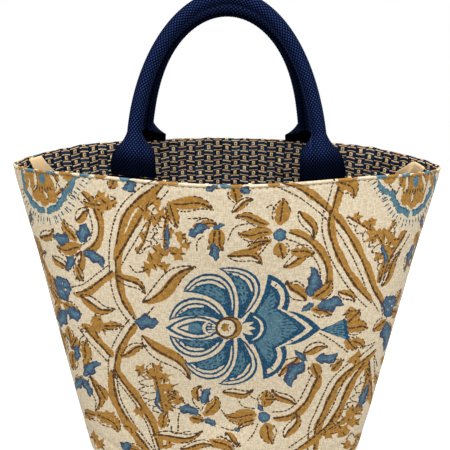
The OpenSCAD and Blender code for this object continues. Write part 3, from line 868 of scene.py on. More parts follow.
def draw_print():
    """The whole front of the print."""
    sheet = BlockPrint(FRONT_SEED)
    for table, size in ((VINES, VINE_SIZE), (STEMS, STEM_SIZE)):
        for shade, points in table:
            sheet.vine(points, shade, *size)
    for *points, width, teeth, side in PLUMES:
        sheet.plume(points, width, teeth, side)
    for p, q, r in PATCHES:
        sheet.patch(np.array([p, q], float), r)
    for curve in DRAWN_CURVES:
        sheet.dashes(smooth(curve))
    for a, b, c, d, width, bend, fill in HALF_LEAVES:
        sheet.leaf((a, b), (c, d), width, bend, fill)
    for a, b, c, d, width, bend in OCHRE_PETALS:
        sheet.ochre_petal((a, b), (c, d), width, bend)
    for a, b, c, d, width, bend in BLUE_PETALS:
        sheet.blue_petal((a, b), (c, d), width, bend)
    for centre, r in TUFTS:
        sheet.tuft(centre, r)
    for centre, r in BALLS:
        sheet.ball(centre, r)
    sheet.large_flower(LARGE_FLOWER)
    sheet.bell(*BELL_FLOWER)
    for centre, facing in HALF_ROSETTES:
        sheet.half_rosette(centre, facing)
    count, first, step = SIDE_LEAVES
    for side in (-1, 1):
        for k in range(count):
            q = first + step * k
            p = side * (158 + 0.15 * q + 5 * math.sin(2.1 * k))
            sheet.leaf((p, q), (p + side * 9 * math.cos(1.3 * k), q + 15), 8, 0.1 * side, 1 - 2 * (k % 2))
            sheet.blue_petal((p - side * 3, q + 5), (p - side * 9, q + 12), 6, 0.1)
    for p, ink in HEM_BITS:
        sheet.disc(ink, (p, HEM_HEIGHT), 5.0, 0.7, BlockPrint.RAGGED)
    return sheet.fields


# Least distance of two outline points, distance at which points join, and least doubled area of a triangle
POINT_GAP = 1e-3
WELD = 1e-4
SLIVER = 1e-7


def lay_print(fields, to_flat, grid, bounds):
    """Flat triangles whose edges follow the ink fields, and the ink of each triangle."""
    low, high = bounds
    points, edges = [np.asarray(grid, float)], []
    total = len(grid)
    outlines = []
    for ink, line in fields:
        flat = np.clip(to_flat(line), low, high)
        kept = flat[np.concatenate([[True], np.linalg.norm(np.diff(flat, axis=0), axis=1) > POINT_GAP])]
        if len(kept) < 3:
            continue
        outlines.append((ink, kept))
        index = np.arange(len(kept)) + total
        edges.append(np.stack([index, np.roll(index, -1)], axis=1))
        points.append(kept)
        total += len(kept)
    flat = [Vector(p) for p in np.concatenate(points)]
    joined = [tuple(int(i) for i in e) for e in np.concatenate(edges)]
    verts, _, faces, _, _, _ = delaunay_2d_cdt(flat, joined, [], 0, WELD)
    spots = np.array([(v.x, v.y) for v in verts])
    tris = np.array([f for f in faces if len(f) == 3])
    a, b, c = (spots[tris[:, k]] for k in range(3))
    twice = (b[:, 0] - a[:, 0]) * (c[:, 1] - a[:, 1]) - (b[:, 1] - a[:, 1]) * (c[:, 0] - a[:, 0])
    tris = np.where((twice < 0)[:, None], tris[:, ::-1], tris)[np.abs(twice) > SLIVER]
    centres = spots[tris].mean(axis=1)
    order = np.argsort(centres[:, 0])
    sorted_x = centres[order, 0]
    inks = np.zeros(len(tris), int)
    for ink, line in outlines:
        box_low, box_high = line.min(axis=0), line.max(axis=0)
        near = order[np.searchsorted(sorted_x, box_low[0]):np.searchsorted(sorted_x, box_high[0])]
        near = near[(centres[near, 1] >= box_low[1]) & (centres[near, 1] <= box_high[1])]
        inks[near[inside(centres[near], line)]] = ink
    return spots, tris, inks


def inside(spots, line):
    """Which spots lie inside a closed outline."""
    ends = np.roll(line, -1, axis=0)
    turns = np.zeros(len(spots), int)
    for (x0, y0), (x1, y1) in zip(line, ends):
        side = (x1 - x0) * (spots[:, 1] - y0) - (spots[:, 0] - x0) * (y1 - y0)
        turns += ((y0 <= spots[:, 1]) & (y1 > spots[:, 1]) & (side > 0)).astype(int)
        turns -= ((y0 > spots[:, 1]) & (y1 <= spots[:, 1]) & (side < 0)).astype(int)
    return turns != 0


# Meshes and materials

def make_piece(name, points, faces, material, flat, tint=None, normals=None):
    """A piece from points in millimetres; flat holds each point's place on the flat cloth."""
    faces = np.asarray(faces)
    mesh = bpy.data.meshes.new(name)
    mesh.from_pydata((np.asarray(points) * MM).tolist(), [], faces.tolist(), shade_flat=False)
    corners = faces.ravel()
    flat = np.asarray(flat, float)
    low, high = flat.min(axis=0), flat.max(axis=0)
    for title, place in (("Cloth", flat * MM), ("OFBake", 0.01 + 0.98 * (flat - low) / (high - low))):
        layer = mesh.uv_layers.new(name=title)
        layer.data.foreach_set("uv", place[corners].astype(np.float32).ravel())
    mesh.uv_layers.active = mesh.uv_layers["Cloth"]
    if tint is not None:
        layer = mesh.color_attributes.new("tint", "FLOAT_COLOR", "CORNER")
        layer.data.foreach_set("color", np.repeat(tint, faces.shape[1], axis=0).astype(np.float32).ravel())
    if normals is not None:
        mesh.normals_split_custom_set_from_vertices(np.asarray(normals).tolist())
    mesh.materials.append(material)
    piece = bpy.data.objects.new(name, mesh)
    bpy.context.scene.collection.objects.link(piece)
    return piece


def settle(piece, slot, *nodes):
    """The piece rides on the bag and stands for its solids, which it hides; slot is not used."""
    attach(piece, "root")
    if nodes:
        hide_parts(*nodes)


class NodeDesk:
    """Short ways to add and join the nodes of one material."""

    def __init__(self, name):
        self.material = bpy.data.materials.new(name)
        self.material.use_nodes = True
        self.tree = self.material.node_tree
        self.shader = self.tree.nodes["Principled BSDF"]

    def add(self, kind, **inputs):
        """A node with values on its own sockets."""
        node = self.tree.nodes.new(kind)
        for key, value in inputs.items():
            node.inputs[key.replace("_", " ")].default_value = value
        return node

    def finish(self, **inputs):
        """Constant values of the shader."""
        for key, value in inputs.items():
            self.shader.inputs[key.replace("_", " ")].default_value = value

    def join(self, source, target):
        self.tree.links.new(source, target)

    def tint(self):
        """Colour and cover that the faces carry."""
        node = self.add("ShaderNodeAttribute")
        node.attribute_name = "tint"
        return node.outputs["Color"], node.outputs["Alpha"]

    def cloth_place(self, scale=(1, 1, 1)):
        """The place on the flat cloth in metres, stretched."""
        place = self.add("ShaderNodeUVMap")
        place.uv_map = "Cloth"
        stretch = self.add("ShaderNodeMapping", Scale=scale)
        self.join(place.outputs["UV"], stretch.inputs["Vector"])
        return stretch.outputs["Vector"]

    def noise(self, place, scale, detail=2.0, roughness=0.5):
        node = self.add("ShaderNodeTexNoise", Scale=scale, Detail=detail, Roughness=roughness)
        self.join(place, node.inputs["Vector"])
        return node.outputs["Fac"]

    def ranged(self, value, low, high, to_low, to_high):
        """A value moved from one range to another."""
        node = self.add("ShaderNodeMapRange", From_Min=low, From_Max=high, To_Min=to_low, To_Max=to_high)
        self.join(value, node.inputs["Value"])
        return node.outputs["Result"]

    def math(self, operation, a, b):
        node = self.add("ShaderNodeMath")
        node.operation = operation
        self.join(a, node.inputs[0])
        self.join(b, node.inputs[1])
        return node.outputs["Value"]

    def blend(self, factor, a, b, kind="MIX"):
        """Two colours mixed; a number, a colour or a socket can stand for each input."""
        node = self.add("ShaderNodeMix")
        node.data_type = "RGBA"
        node.blend_type = kind
        sockets = [node.inputs[0], node.inputs[6], node.inputs[7]]
        for socket, value in zip(sockets, (factor, a, b)):
            if isinstance(value, float):
                socket.default_value = value
            elif isinstance(value, tuple):
                socket.default_value = (*value, 1.0)
            else:
                self.join(value, socket)
        return node.outputs[2]

    def bump(self, height, strength, distance):
        """Fine relief of the surface from a height."""
        node = self.add("ShaderNodeBump", Strength=strength, Distance=distance)
        self.join(height, node.inputs["Height"])
        self.join(node.outputs["Normal"], self.shader.inputs["Normal"])


def ink_table(colours):
    """Colour of each ink, with no cover for bare cloth."""
    names = ("cloth", "ochre", "brown", "blue", "deep", "indigo", "shadow")
    rows = [list(getattr(colours, name)) + [0.0 if name == "cloth" else 1.0] for name in names]
    return np.array(rows)


# Scales of the noise over the flat cloth, and how much darker worn cloth, ink and yarn are
THREAD_SCALE = 640
GRAIN_SCALE = 620
MOTTLE_SCALE = 230
FUZZ_SCALE = 1700
TAPE_SCALE = 1300
WORN_CLOTH = (0.72, 0.63, 0.49)
WORN_INK = (0.58, 0.58, 0.62)
WORN_YARN = (0.6, 0.6, 0.62)
WORN_TAPE = 0.7


def printed_cotton(colours):
    """Plain-weave cotton with block-printed inks that sit unevenly on the threads."""
    desk = NodeDesk("printed_cotton")
    tint, cover = desk.tint()
    weft = desk.noise(desk.cloth_place((0.35, 1.5, 1)), THREAD_SCALE)
    warp = desk.noise(desk.cloth_place((1.5, 0.35, 1)), THREAD_SCALE)
    grain = desk.noise(desk.cloth_place(), GRAIN_SCALE, 3.0, 0.65)
    mottle = desk.noise(desk.cloth_place(), MOTTLE_SCALE, 3.0, 0.6)
    threads = desk.math("ADD", weft, warp)
    cloth = tuple(colours.cloth)
    wear_and_painted_shade = tuple(k * v for k, v in zip(WORN_CLOTH, cloth))
    ground = desk.blend(desk.ranged(threads, 0.82, 1.15, 0.85, 0.0), cloth, wear_and_painted_shade)
    ground = desk.blend(desk.ranged(mottle, 0.35, 0.75, 0.0, 0.22), ground, wear_and_painted_shade)
    dark = desk.blend(1.0, tint, WORN_INK, "MULTIPLY")
    ink = desk.blend(desk.ranged(mottle, 0.42, 0.6, 0.0, 0.75), tint, dark)
    ink = desk.blend(desk.ranged(grain, 0.46, 0.66, 0.0, 0.85), ink, dark)
    cover = desk.math("MULTIPLY", cover, desk.ranged(grain, 0.28, 0.42, 0.55, 1.0))
    desk.join(desk.blend(cover, ground, ink), desk.shader.inputs["Base Color"])
    desk.finish(Roughness=0.88, Specular_IOR_Level=0.25, Sheen_Weight=0.08)
    desk.bump(threads, 0.35, 0.0004)
    return desk.material


# Outer cloth

class OuterCloth:
    """The printed front, laid out once and used for front and back."""

    FOOT_ROWS = 9
    WALL_ROWS = 80
    BEAD_ROWS = 15
    COLUMNS = 131

    def __init__(self, form, fields):
        self.form = form
        low_q = form.edge * (1 - math.pi / 2)
        top = form.hem_top()
        hem_start = form.height - HEM_FOOT
        rows = np.concatenate([
            np.linspace(low_q, form.edge, self.FOOT_ROWS)[:-1],
            np.linspace(form.edge, hem_start, self.WALL_ROWS),
            hem_start + np.linspace(0, HEM_CREASE, 4)[1:],
            np.linspace(hem_start + HEM_CREASE, top - HEM_TAIL, self.BEAD_ROWS)[1:],
            [top - HEM_TAIL / 2, top],
        ])
        columns = np.linspace(-CLOTH_SPAN, CLOTH_SPAN, self.COLUMNS)
        grid = np.stack(np.meshgrid(columns, rows), axis=-1).reshape(-1, 2)
        bounds = np.array([-CLOTH_SPAN, low_q]), np.array([CLOTH_SPAN, top])
        spots, self.tris, self.inks = lay_print(fields, self.to_flat, grid, bounds)
        self.p = spots[:, 0] / CLOTH_SPAN * form.half_reach(spots[:, 1])
        self.q = spots[:, 1]
        self.points = self.place(self.p, self.q)
        self.normals = form_normals(self.place, self.p, self.q, 0.3)

    def to_flat(self, line):
        """A line of the print on the flat grid, where every row is as long as the next."""
        return np.stack([line[:, 0] / self.form.half_reach(line[:, 1]) * CLOTH_SPAN, line[:, 1]], axis=1)

    def place(self, p, q):
        """Points of the bag's front."""
        depth, z = self.form.hem(q)
        return self.form.at(p, z, depth)


def build_outer(form, colours, material):
    """The printed front, and the same cloth turned round as the back."""
    cloth = OuterCloth(form, draw_print())
    tint = ink_table(colours)[cloth.inks]
    flat = np.stack([cloth.p, cloth.q], axis=1)
    pieces = []
    for name, turn in (("outer_front_cloth", 1), ("outer_back_cloth", -1)):
        spin = np.array([turn, turn, 1])
        pieces.append(make_piece(
            name, cloth.points * spin, cloth.tris, material, flat, tint, cloth.normals * spin
        ))
    return pieces


# Lining: columns WEAVE_PITCH apart and rows WEAVE_STEP apart, with upright bars and level dashes in turn

WEAVE_PITCH = 8.4
WEAVE_STEP = 4.8
BAR_HALF = 1.4
BAR_TALL = 2.2
BAR_EYE = (0.55, 0.7)
DASH_LOW = 1.35
DASH_HALF = 3.8
DASH_MID = (DASH_LOW + BAR_TALL) / 2
YARN_LINES = (-4.2, -DASH_HALF, -BAR_HALF, -BAR_EYE[0], BAR_EYE[0], BAR_HALF, DASH_HALF)
FINE_ROWS = (-2.4, -BAR_TALL, -DASH_MID, -DASH_LOW, -BAR_EYE[1], BAR_EYE[1], DASH_LOW, DASH_MID, BAR_TALL)
PLAIN_ROWS = (-BAR_TALL, -DASH_LOW, DASH_LOW)
# The lining lies behind the webbing and swells over its sewn-in ends
LINING_CLEAR = 1.2
POCKET_IN = 1.8
POCKET_X = 75.0
POCKET_HALF = 24.0
POCKET_SLOPE = 10.0
POCKET_FOOT = 236.0
# Its top rolls out over the hem
LINING_TOP = 263.6
ROLL_START = LINING_TOP - 1.0
ROLL_LONG = 3.0
ROLL_DEEP = 0.9
ROLL_TALL = 1.1
# Above this height the weave has all its lines
FINE_FROM = 200.0
FRONT_LINING_SEED, BACK_LINING_SEED, BASE_LINING_SEED = 21, 22, 23


class Basket:
    """Coarse basket weave: upright pairs of tan yarns and tan dashes between thick navy yarns."""

    def __init__(self, half, low, high, fine_from, seed):
        self.rng = np.random.default_rng(seed)
        count = int(half // WEAVE_PITCH) + 1
        self.columns = np.arange(-count, count + 1)
        x = np.concatenate([WEAVE_PITCH * k + np.array(YARN_LINES) for k in self.columns])
        self.x = np.concatenate([[-half], x[(x > -half + 0.3) & (x < half - 0.3)], [half]])
        windows = np.arange(int(low // WEAVE_STEP) - 1, int(high // WEAVE_STEP) + 2)
        z = np.concatenate([
            WEAVE_STEP * k + np.array(FINE_ROWS if WEAVE_STEP * k >= fine_from else PLAIN_ROWS)
            for k in windows
        ])
        self.z = np.concatenate([[low], z[(z > low + 0.3) & (z < high - 0.3)], [high]])
        shape = (len(self.columns) + 2, len(windows) + 2)
        self.first = (-count - 1, windows[0] - 1)
        self.upright = np.add.outer(np.arange(shape[0]), np.arange(shape[1])) % 2 == 0
        self.shade = self.rng.uniform(0.72, 1.3, shape + (3,))
        # Bars that get a dark eye of painted shade between their two yarns
        self.spot = self.rng.random(shape) < 0.85

    def cell(self, x, z):
        """Place within a cell of the weave, and the cell's column and row."""
        i = np.floor(x / WEAVE_PITCH + 0.5).astype(int)
        k = np.floor(z / WEAVE_STEP + 0.5).astype(int)
        return x - i * WEAVE_PITCH, z - k * WEAVE_STEP, i - self.first[0], k - self.first[1]

    def relief(self, x, z):
        """How far the yarns stand out of the cloth, in millimetres."""
        a, b, i, k = self.cell(x, z)
        bar_end = np.sqrt(np.clip(1 - (b / (BAR_TALL + 0.25)) ** 2, 0, 1))
        pair = 0.35 + 0.65 * np.sin(np.pi * np.clip(np.abs(a) / BAR_HALF, 0, 1))
        side = 0.1 + 0.3 * bar_end * np.clip((WEAVE_PITCH / 2 - np.abs(a)) / 2.3, 0, 1)
        bar = np.where(np.abs(a) <= BAR_HALF + 1e-6, 0.1 + 0.75 * bar_end * pair, side)
        run = np.sqrt(np.clip(1 - (a / (DASH_HALF + 0.3)) ** 2, 0, 1))
        dash = 0.12 + 0.6 * run * np.clip(1 - ((np.abs(b) - DASH_MID) / 0.7) ** 2, 0, 1)
        thick = 0.12 + 0.55 * run * np.cos(np.clip(b / DASH_LOW, -1, 1) * np.pi / 2)
        flat = np.where(np.abs(b) < DASH_LOW, thick, dash)
        high = np.where(self.upright[i, k], bar, flat)
        return np.where(np.abs(b) >= BAR_TALL + 0.2, 0.06, high)

    def tint(self, x, z, dark, light):
        """Colour of each spot: tan or navy, a little different from yarn to yarn, with painted light and
        shade.
        """
        a, b, i, k = self.cell(x, z)
        upright = self.upright[i, k]
        bar = upright & (np.abs(a) < BAR_HALF) & (np.abs(b) < DASH_MID)
        # Painted shade: the dark eye between the two tan yarns of a bar
        shaded_eye = self.spot[i, k] & (np.abs(a) < BAR_EYE[0]) & (np.abs(b) < BAR_EYE[1])
        dash = ~upright & (np.abs(a) < DASH_HALF) & (np.abs(b) > DASH_LOW) & (np.abs(b) < BAR_TALL)
        part = np.where(bar, np.where(a > 0, 0, 1), np.where(b > 0, 1, 2))
        shade = (self.shade[i, k, part] * self.rng.uniform(0.8, 1.2, a.shape))[..., None]
        # Painted light and shade: navy floats are lighter than the navy sunk between them
        float_yarn = np.where(upright, np.abs(a) < DASH_HALF, np.abs(b) < DASH_LOW)
        navy = np.where(float_yarn[..., None], 1.4 * shade ** 2, 0.45) * np.array(dark)
        tan = np.minimum(shade * np.array(light), 1.0) * np.where((shaded_eye & bar)[..., None], 0.12, 1.0)
        rgb = np.where((bar | dash)[..., None], tan, navy)
        return np.concatenate([rgb, np.ones_like(rgb[..., :1])], axis=-1)


def grid_faces(rows, columns):
    """Quads of a grid of points, row by row."""
    index = np.arange(rows * columns).reshape(rows, columns)
    return np.stack([index[:-1, :-1], index[:-1, 1:], index[1:, 1:], index[1:, :-1]], axis=-1).reshape(-1, 4)


def waver(x, z, size, phase):
    """Small smooth wander of the yarns, in millimetres."""
    return size * (np.sin(x / 7.3 + z / 11.1 + phase) + np.sin(x / 13.7 - z / 6.1 + 2 * phase)
                   + np.sin(x / 29.0 + z / 23.0 + 3 * phase)) / 2


def weave_material(name, shine):
    """Yarn-dyed cotton whose colours come from the yarns and from the light and shade painted into the faces'
    tint.
    """
    desk = NodeDesk(name)
    tint, _ = desk.tint()
    fuzz = desk.noise(desk.cloth_place(), FUZZ_SCALE, 3.0, 0.7)
    dark = desk.blend(1.0, tint, WORN_YARN, "MULTIPLY")
    shaded = desk.blend(desk.ranged(fuzz, 0.4, 0.65, 0.0, 0.35), tint, dark)
    desk.join(shaded, desk.shader.inputs["Base Color"])
    desk.finish(Roughness=0.85, Specular_IOR_Level=shine)
    desk.bump(fuzz, 0.25, 0.0003)
    return desk.material


def lining_inset(form, p, z):
    """Inset of the lining, which swells over the sewn-in ends of the webbing."""
    u = p / form.half_reach(z)
    x = np.abs(form.at(p, z, 0.0)[..., 0])
    across = ease(1 - (np.abs(x - POCKET_X) - POCKET_HALF) / POCKET_SLOPE)
    up = ease((z - (POCKET_FOOT - POCKET_SLOPE)) / POCKET_SLOPE)
    return LINING_IN + LINING_CLEAR + POCKET_IN * across * up * (np.abs(u) < 1)


def build_lining(form, colours, material):
    """Both lining walls; their top rolls out over the hem."""
    low_q = form.edge * (1 - math.pi / 2)
    pieces = []
    for name, turn, seed in (
        ("lining_front_cloth", 1, FRONT_LINING_SEED), ("lining_back_cloth", -1, BACK_LINING_SEED)
    ):
        weave = Basket(CLOTH_SPAN, low_q, ROLL_START + ROLL_LONG, FINE_FROM, seed)
        x, q = np.meshgrid(weave.x, weave.z)
        p = x / CLOTH_SPAN * form.half_reach(q)

        def place(p, q, weave=weave):
            """Points of the wall with its yarns, which wander a little and flatten at the top."""
            x = np.clip(p / form.half_reach(q), -1, 1) * CLOTH_SPAN
            shift = waver(x, q, 0.5, 0.7) * np.clip((CLOTH_SPAN - np.abs(x)) / 20, 0, 1)
            rise = waver(q, x, 0.5, 1.9) + 0.45 * np.sin(x / 2.7 + q / 19.0)
            inset = lining_inset(form, p, np.clip(q, 0, form.height))
            depth, z = form.profile(np.minimum(q, ROLL_START), inset)
            over = np.clip(q - ROLL_START, 0, ROLL_LONG) / ROLL_LONG * np.pi
            stand = weave.relief(x, q) * (1 - 0.7 * ease((q - LINING_TOP + 2.5) / 2.0))
            depth = depth + stand - ROLL_DEEP * (1 - np.cos(over))
            z = z + ROLL_TALL * np.sin(over) + (rise + 0.9 * (stand - 0.4)) * ease((q - 20) / 20)
            return form.at(p + shift, z, depth)

        points = place(p, q)
        normals = -form_normals(place, p, q, 0.25)
        faces = grid_faces(*x.shape)[:, ::-1]
        spin = np.array([turn, turn, 1])
        flat = np.stack([p, q], axis=-1).reshape(-1, 2)
        centre_x = x.ravel()[faces].mean(axis=1)
        centre_q = q.ravel()[faces].mean(axis=1)
        tint = weave.tint(centre_x, centre_q, tuple(colours.lining_dark), tuple(colours.lining_light))
        pieces.append(make_piece(
            name, points.reshape(-1, 3) * spin, faces, material, flat, tint, normals.reshape(-1, 3) * spin
        ))
    return pieces


def oval(form, x, share, inset):
    """Points of the flat base: x across, share from front to back."""
    c = np.clip(x / (form.half_width(0) - inset), -1, 1)
    deep = (form.half_depth(0) - inset) * (1 - np.abs(c) ** BASE_SQUARENESS) ** (1 / BASE_SQUARENESS)
    return np.stack([x, share * (deep + SEAM_GAP / 2)], axis=-1)


# Heights of the two bases, and how far each laps under its wall or stays clear of it
LINING_BASE_Z = 2.0
LINING_BASE_LAP = 1.0
OUTER_BASE_Z = 0.4
OUTER_BASE_CLEAR = 0.2
# Faces with less than this doubled area, at the oval's ends, are left out
SMALLEST_WEAVE_FACE = 0.02
SMALLEST_PRINT_FACE = 0.004
BASE_SEED = 11


def build_lining_base(form, colours, material):
    """The woven base inside."""
    inset = form.edge - LINING_BASE_LAP
    half, deep = form.half_width(0) - inset, form.half_depth(0) - inset
    weave = Basket(half, -deep, deep, math.inf, BASE_LINING_SEED)
    x, y = np.meshgrid(weave.x, weave.z)
    flat = oval(form, x, y / deep, inset)
    z = LINING_BASE_Z + weave.relief(x, y)
    points = np.concatenate([flat, z[..., None]], axis=-1).reshape(-1, 3)
    faces = grid_faces(*x.shape)
    spans = points[faces]
    area = np.linalg.norm(np.cross(spans[:, 2] - spans[:, 0], spans[:, 3] - spans[:, 1]), axis=1)
    faces = faces[area > SMALLEST_WEAVE_FACE]
    place = np.stack([x, y], axis=-1).reshape(-1, 2)
    tint = weave.tint(x.ravel()[faces].mean(axis=1), y.ravel()[faces].mean(axis=1),
                      tuple(colours.lining_dark), tuple(colours.lining_light))
    return make_piece("lining_base_cloth", points, faces, material, place, tint)


def build_outer_base(form, colours, material):
    """The printed base, with rows of leaves and petals."""
    inset = form.edge + OUTER_BASE_CLEAR
    half, deep = form.half_width(0) - inset, form.half_depth(0) - inset
    sheet = BlockPrint(BASE_SEED)
    for x in np.arange(-96, 97, 32):
        sheet.leaf((x - 8, -26), (x + 12, -8), 10, 0.06)
        sheet.ochre_petal((x, 8), (x - 10, 28), 10)
        sheet.blue_petal((x + 2, 6), (x + 14, 20), 11, 0.08)
    columns, rows = np.linspace(-half, half, 75), np.linspace(-deep, deep, 31)
    grid = np.stack(np.meshgrid(columns, rows), axis=-1).reshape(-1, 2)
    corner = np.array([half, deep])
    spots, tris, inks = lay_print(sheet.fields, lambda line: line, grid, (-corner, corner))
    place = oval(form, spots[:, 0], spots[:, 1] / deep, inset)
    points = np.concatenate([place, np.full((len(place), 1), OUTER_BASE_Z)], axis=1)
    spans = points[tris]
    area = np.linalg.norm(np.cross(spans[:, 1] - spans[:, 0], spans[:, 2] - spans[:, 0]), axis=1)
    kept = area > SMALLEST_PRINT_FACE
    tint = ink_table(colours)[inks[kept]]
    return make_piece("outer_base_cloth", points, tris[kept][:, ::-1], material, spots, tint)


# Webbing handles

FRONT_LEAN = 12.0
GRIP_GAP = 10.0
ROLL_GAP = 0.8
ROLL_POWER = 2.1
GRIP_NARROW = 0.84
GRIP_DEEPEN = 1.12
HANDLE_TUCK = 28.0
BELL_BULGE = 2.5
# Raised dots of the weave, on the outer face and on the inner one
DOT_LONG = 3.4
DOT_WIDE = 2.8
DOT_RISE = 0.26
INNER_DOT_RISE = 0.15
EDGE_ROUND = 0.7
# A lighter line along the grip: its place and spread, as shares of the webbing's width
GRIP_LINE = 0.25
GRIP_LINE_SPREAD = 0.018
# Rows of points along the webbing: sewn-in end, bell and grip
TUCK_ROWS = 24
BELL_STEP = 0.4
GRIP_ROWS = 460
WEBBING_COLUMNS = 53
# Painted shade: brightness of the flat ends against the grip, and the share of it that the edges lose
FLAT_SHADE = 0.16
EDGE_SHADE = 0.55
# Bell: share of its height, how early it starts to roll, and its start above the rim
FRONT_BELL = (1.0, 0.0, 1.5)
BACK_BELL = (0.75, 4.0, -1.0)
# Painted shade: brightness of the inner face, on the front handle and on the back one
FRONT_INNER = 0.8
BACK_INNER = 0.22
# Sideways hang, as share of the loop from the left foot to the right, and millimetres
FRONT_SWAY = (
    (0, 0), (0.06, -0.8), (0.12, -2.6), (0.25, -2.6), (0.5, -1.2), (0.75, -0.6), (0.9, -0.4), (1, 0)
)
BACK_SWAY = ((0, 0), (0.1, 2.1), (0.25, 1.0), (0.5, -1.4), (0.75, -3.5), (0.9, -5.1), (1, -2.6))


class Webbing:
    """One handle: flat webbing that rolls into a tube and back; without a lean it leans to the front grip."""

    def __init__(self, form, sizes, lean, bell):
        self.width = sizes.webbing_width / MM
        self.thick = sizes.webbing_thickness / MM
        self.half = sizes.handle_spacing / MM / 2
        self.rise = sizes.handle_rise / MM
        tall, self.early, stand = bell
        self.bell = tall * sizes.bell_height / MM
        self.form = form
        self.stand = form.height + stand
        self.foot = form.at_x(np.array(self.half), np.array(self.stand), WEBBING_IN)
        step = 0.5
        ahead = form.at_x(np.array(self.half + step), np.array(self.stand), WEBBING_IN)
        before = form.at_x(np.array(self.half - step), np.array(self.stand), WEBBING_IN)
        self.slope = (ahead - before)[1] / (ahead - before)[0]
        grip = GRIP_DEEPEN * ((self.width + ROLL_GAP) / math.pi + self.thick)
        if lean is None:
            reach = -2 * self.foot[1] - self.rise * math.sin(math.radians(FRONT_LEAN)) - 2 * grip - GRIP_GAP
            lean = math.degrees(math.asin(reach / self.rise))
        self.lean = math.radians(lean)
        self.full = 2 * math.pi * self.width / (self.width + ROLL_GAP)
        fine = np.linspace(0, math.pi, 4001)
        run = np.hypot(self.half * np.sin(fine), self.rise * np.cos(fine))
        along = np.concatenate([[0], np.cumsum((run[1:] + run[:-1]) / 2 * np.diff(fine))])
        self.length = along[-1]
        self.turns = lambda s: np.interp(s, along, fine)

    def loop(self, s, v, behind):
        """Points of the loop: s along it, v across the webbing, behind its outer face."""
        angle = self.turns(s)
        c = -np.cos(angle)
        h = self.rise * np.sin(angle)
        share = self.rolled_share(s)
        turn = self.slope * (1 - share)
        zero = np.zeros_like(c)
        up = np.array([0, math.sin(self.lean), math.cos(self.lean)])
        slope = np.stack([c / self.half, np.sin(angle) / self.rise], axis=-1)
        slope /= np.linalg.norm(slope, axis=-1, keepdims=True)
        point = np.stack([self.half * c, zero + self.foot[1], zero + self.foot[2]], axis=-1)
        point = point + up * h[..., None]
        bulge = BELL_BULGE * np.sin(math.pi * np.clip(h / self.bell, 0, 1))
        across = np.stack([slope[..., 0], turn, zero], axis=-1) + up * slope[..., 1:]
        across /= np.linalg.norm(across, axis=-1, keepdims=True)
        ahead, above = zero - math.cos(self.lean), zero + math.sin(self.lean)
        outward = np.stack([np.sign(c) * turn, ahead, above], axis=-1)
        outward /= np.linalg.norm(outward, axis=-1, keepdims=True)
        rolled = np.maximum(self.full * share, 1e-3)
        r = self.width / rolled
        a = v / self.width * rolled
        front = r + self.thick / 2
        q0 = mix(1, GRIP_NARROW, share) * (front - behind) * np.sin(a)
        q1 = mix(1, GRIP_DEEPEN, share) * ((front - behind) * np.cos(a) - front)
        return point + across * q0[..., None] + outward * (q1 + bulge)[..., None]

    def tucked(self, side, s, v, behind):
        """Points of the sewn-in end: s below the start of the loop."""
        return self.form.at_x(side * self.half + v, self.stand - s, WEBBING_IN + behind)

    def rolled_share(self, s):
        """How far the webbing is rolled up, from 0 where it is flat to 1 in the grip."""
        h = self.rise * np.sin(self.turns(s))
        return np.clip((h + self.early) / (self.bell + self.early), 0, 1) ** ROLL_POWER * ease(h / 3)


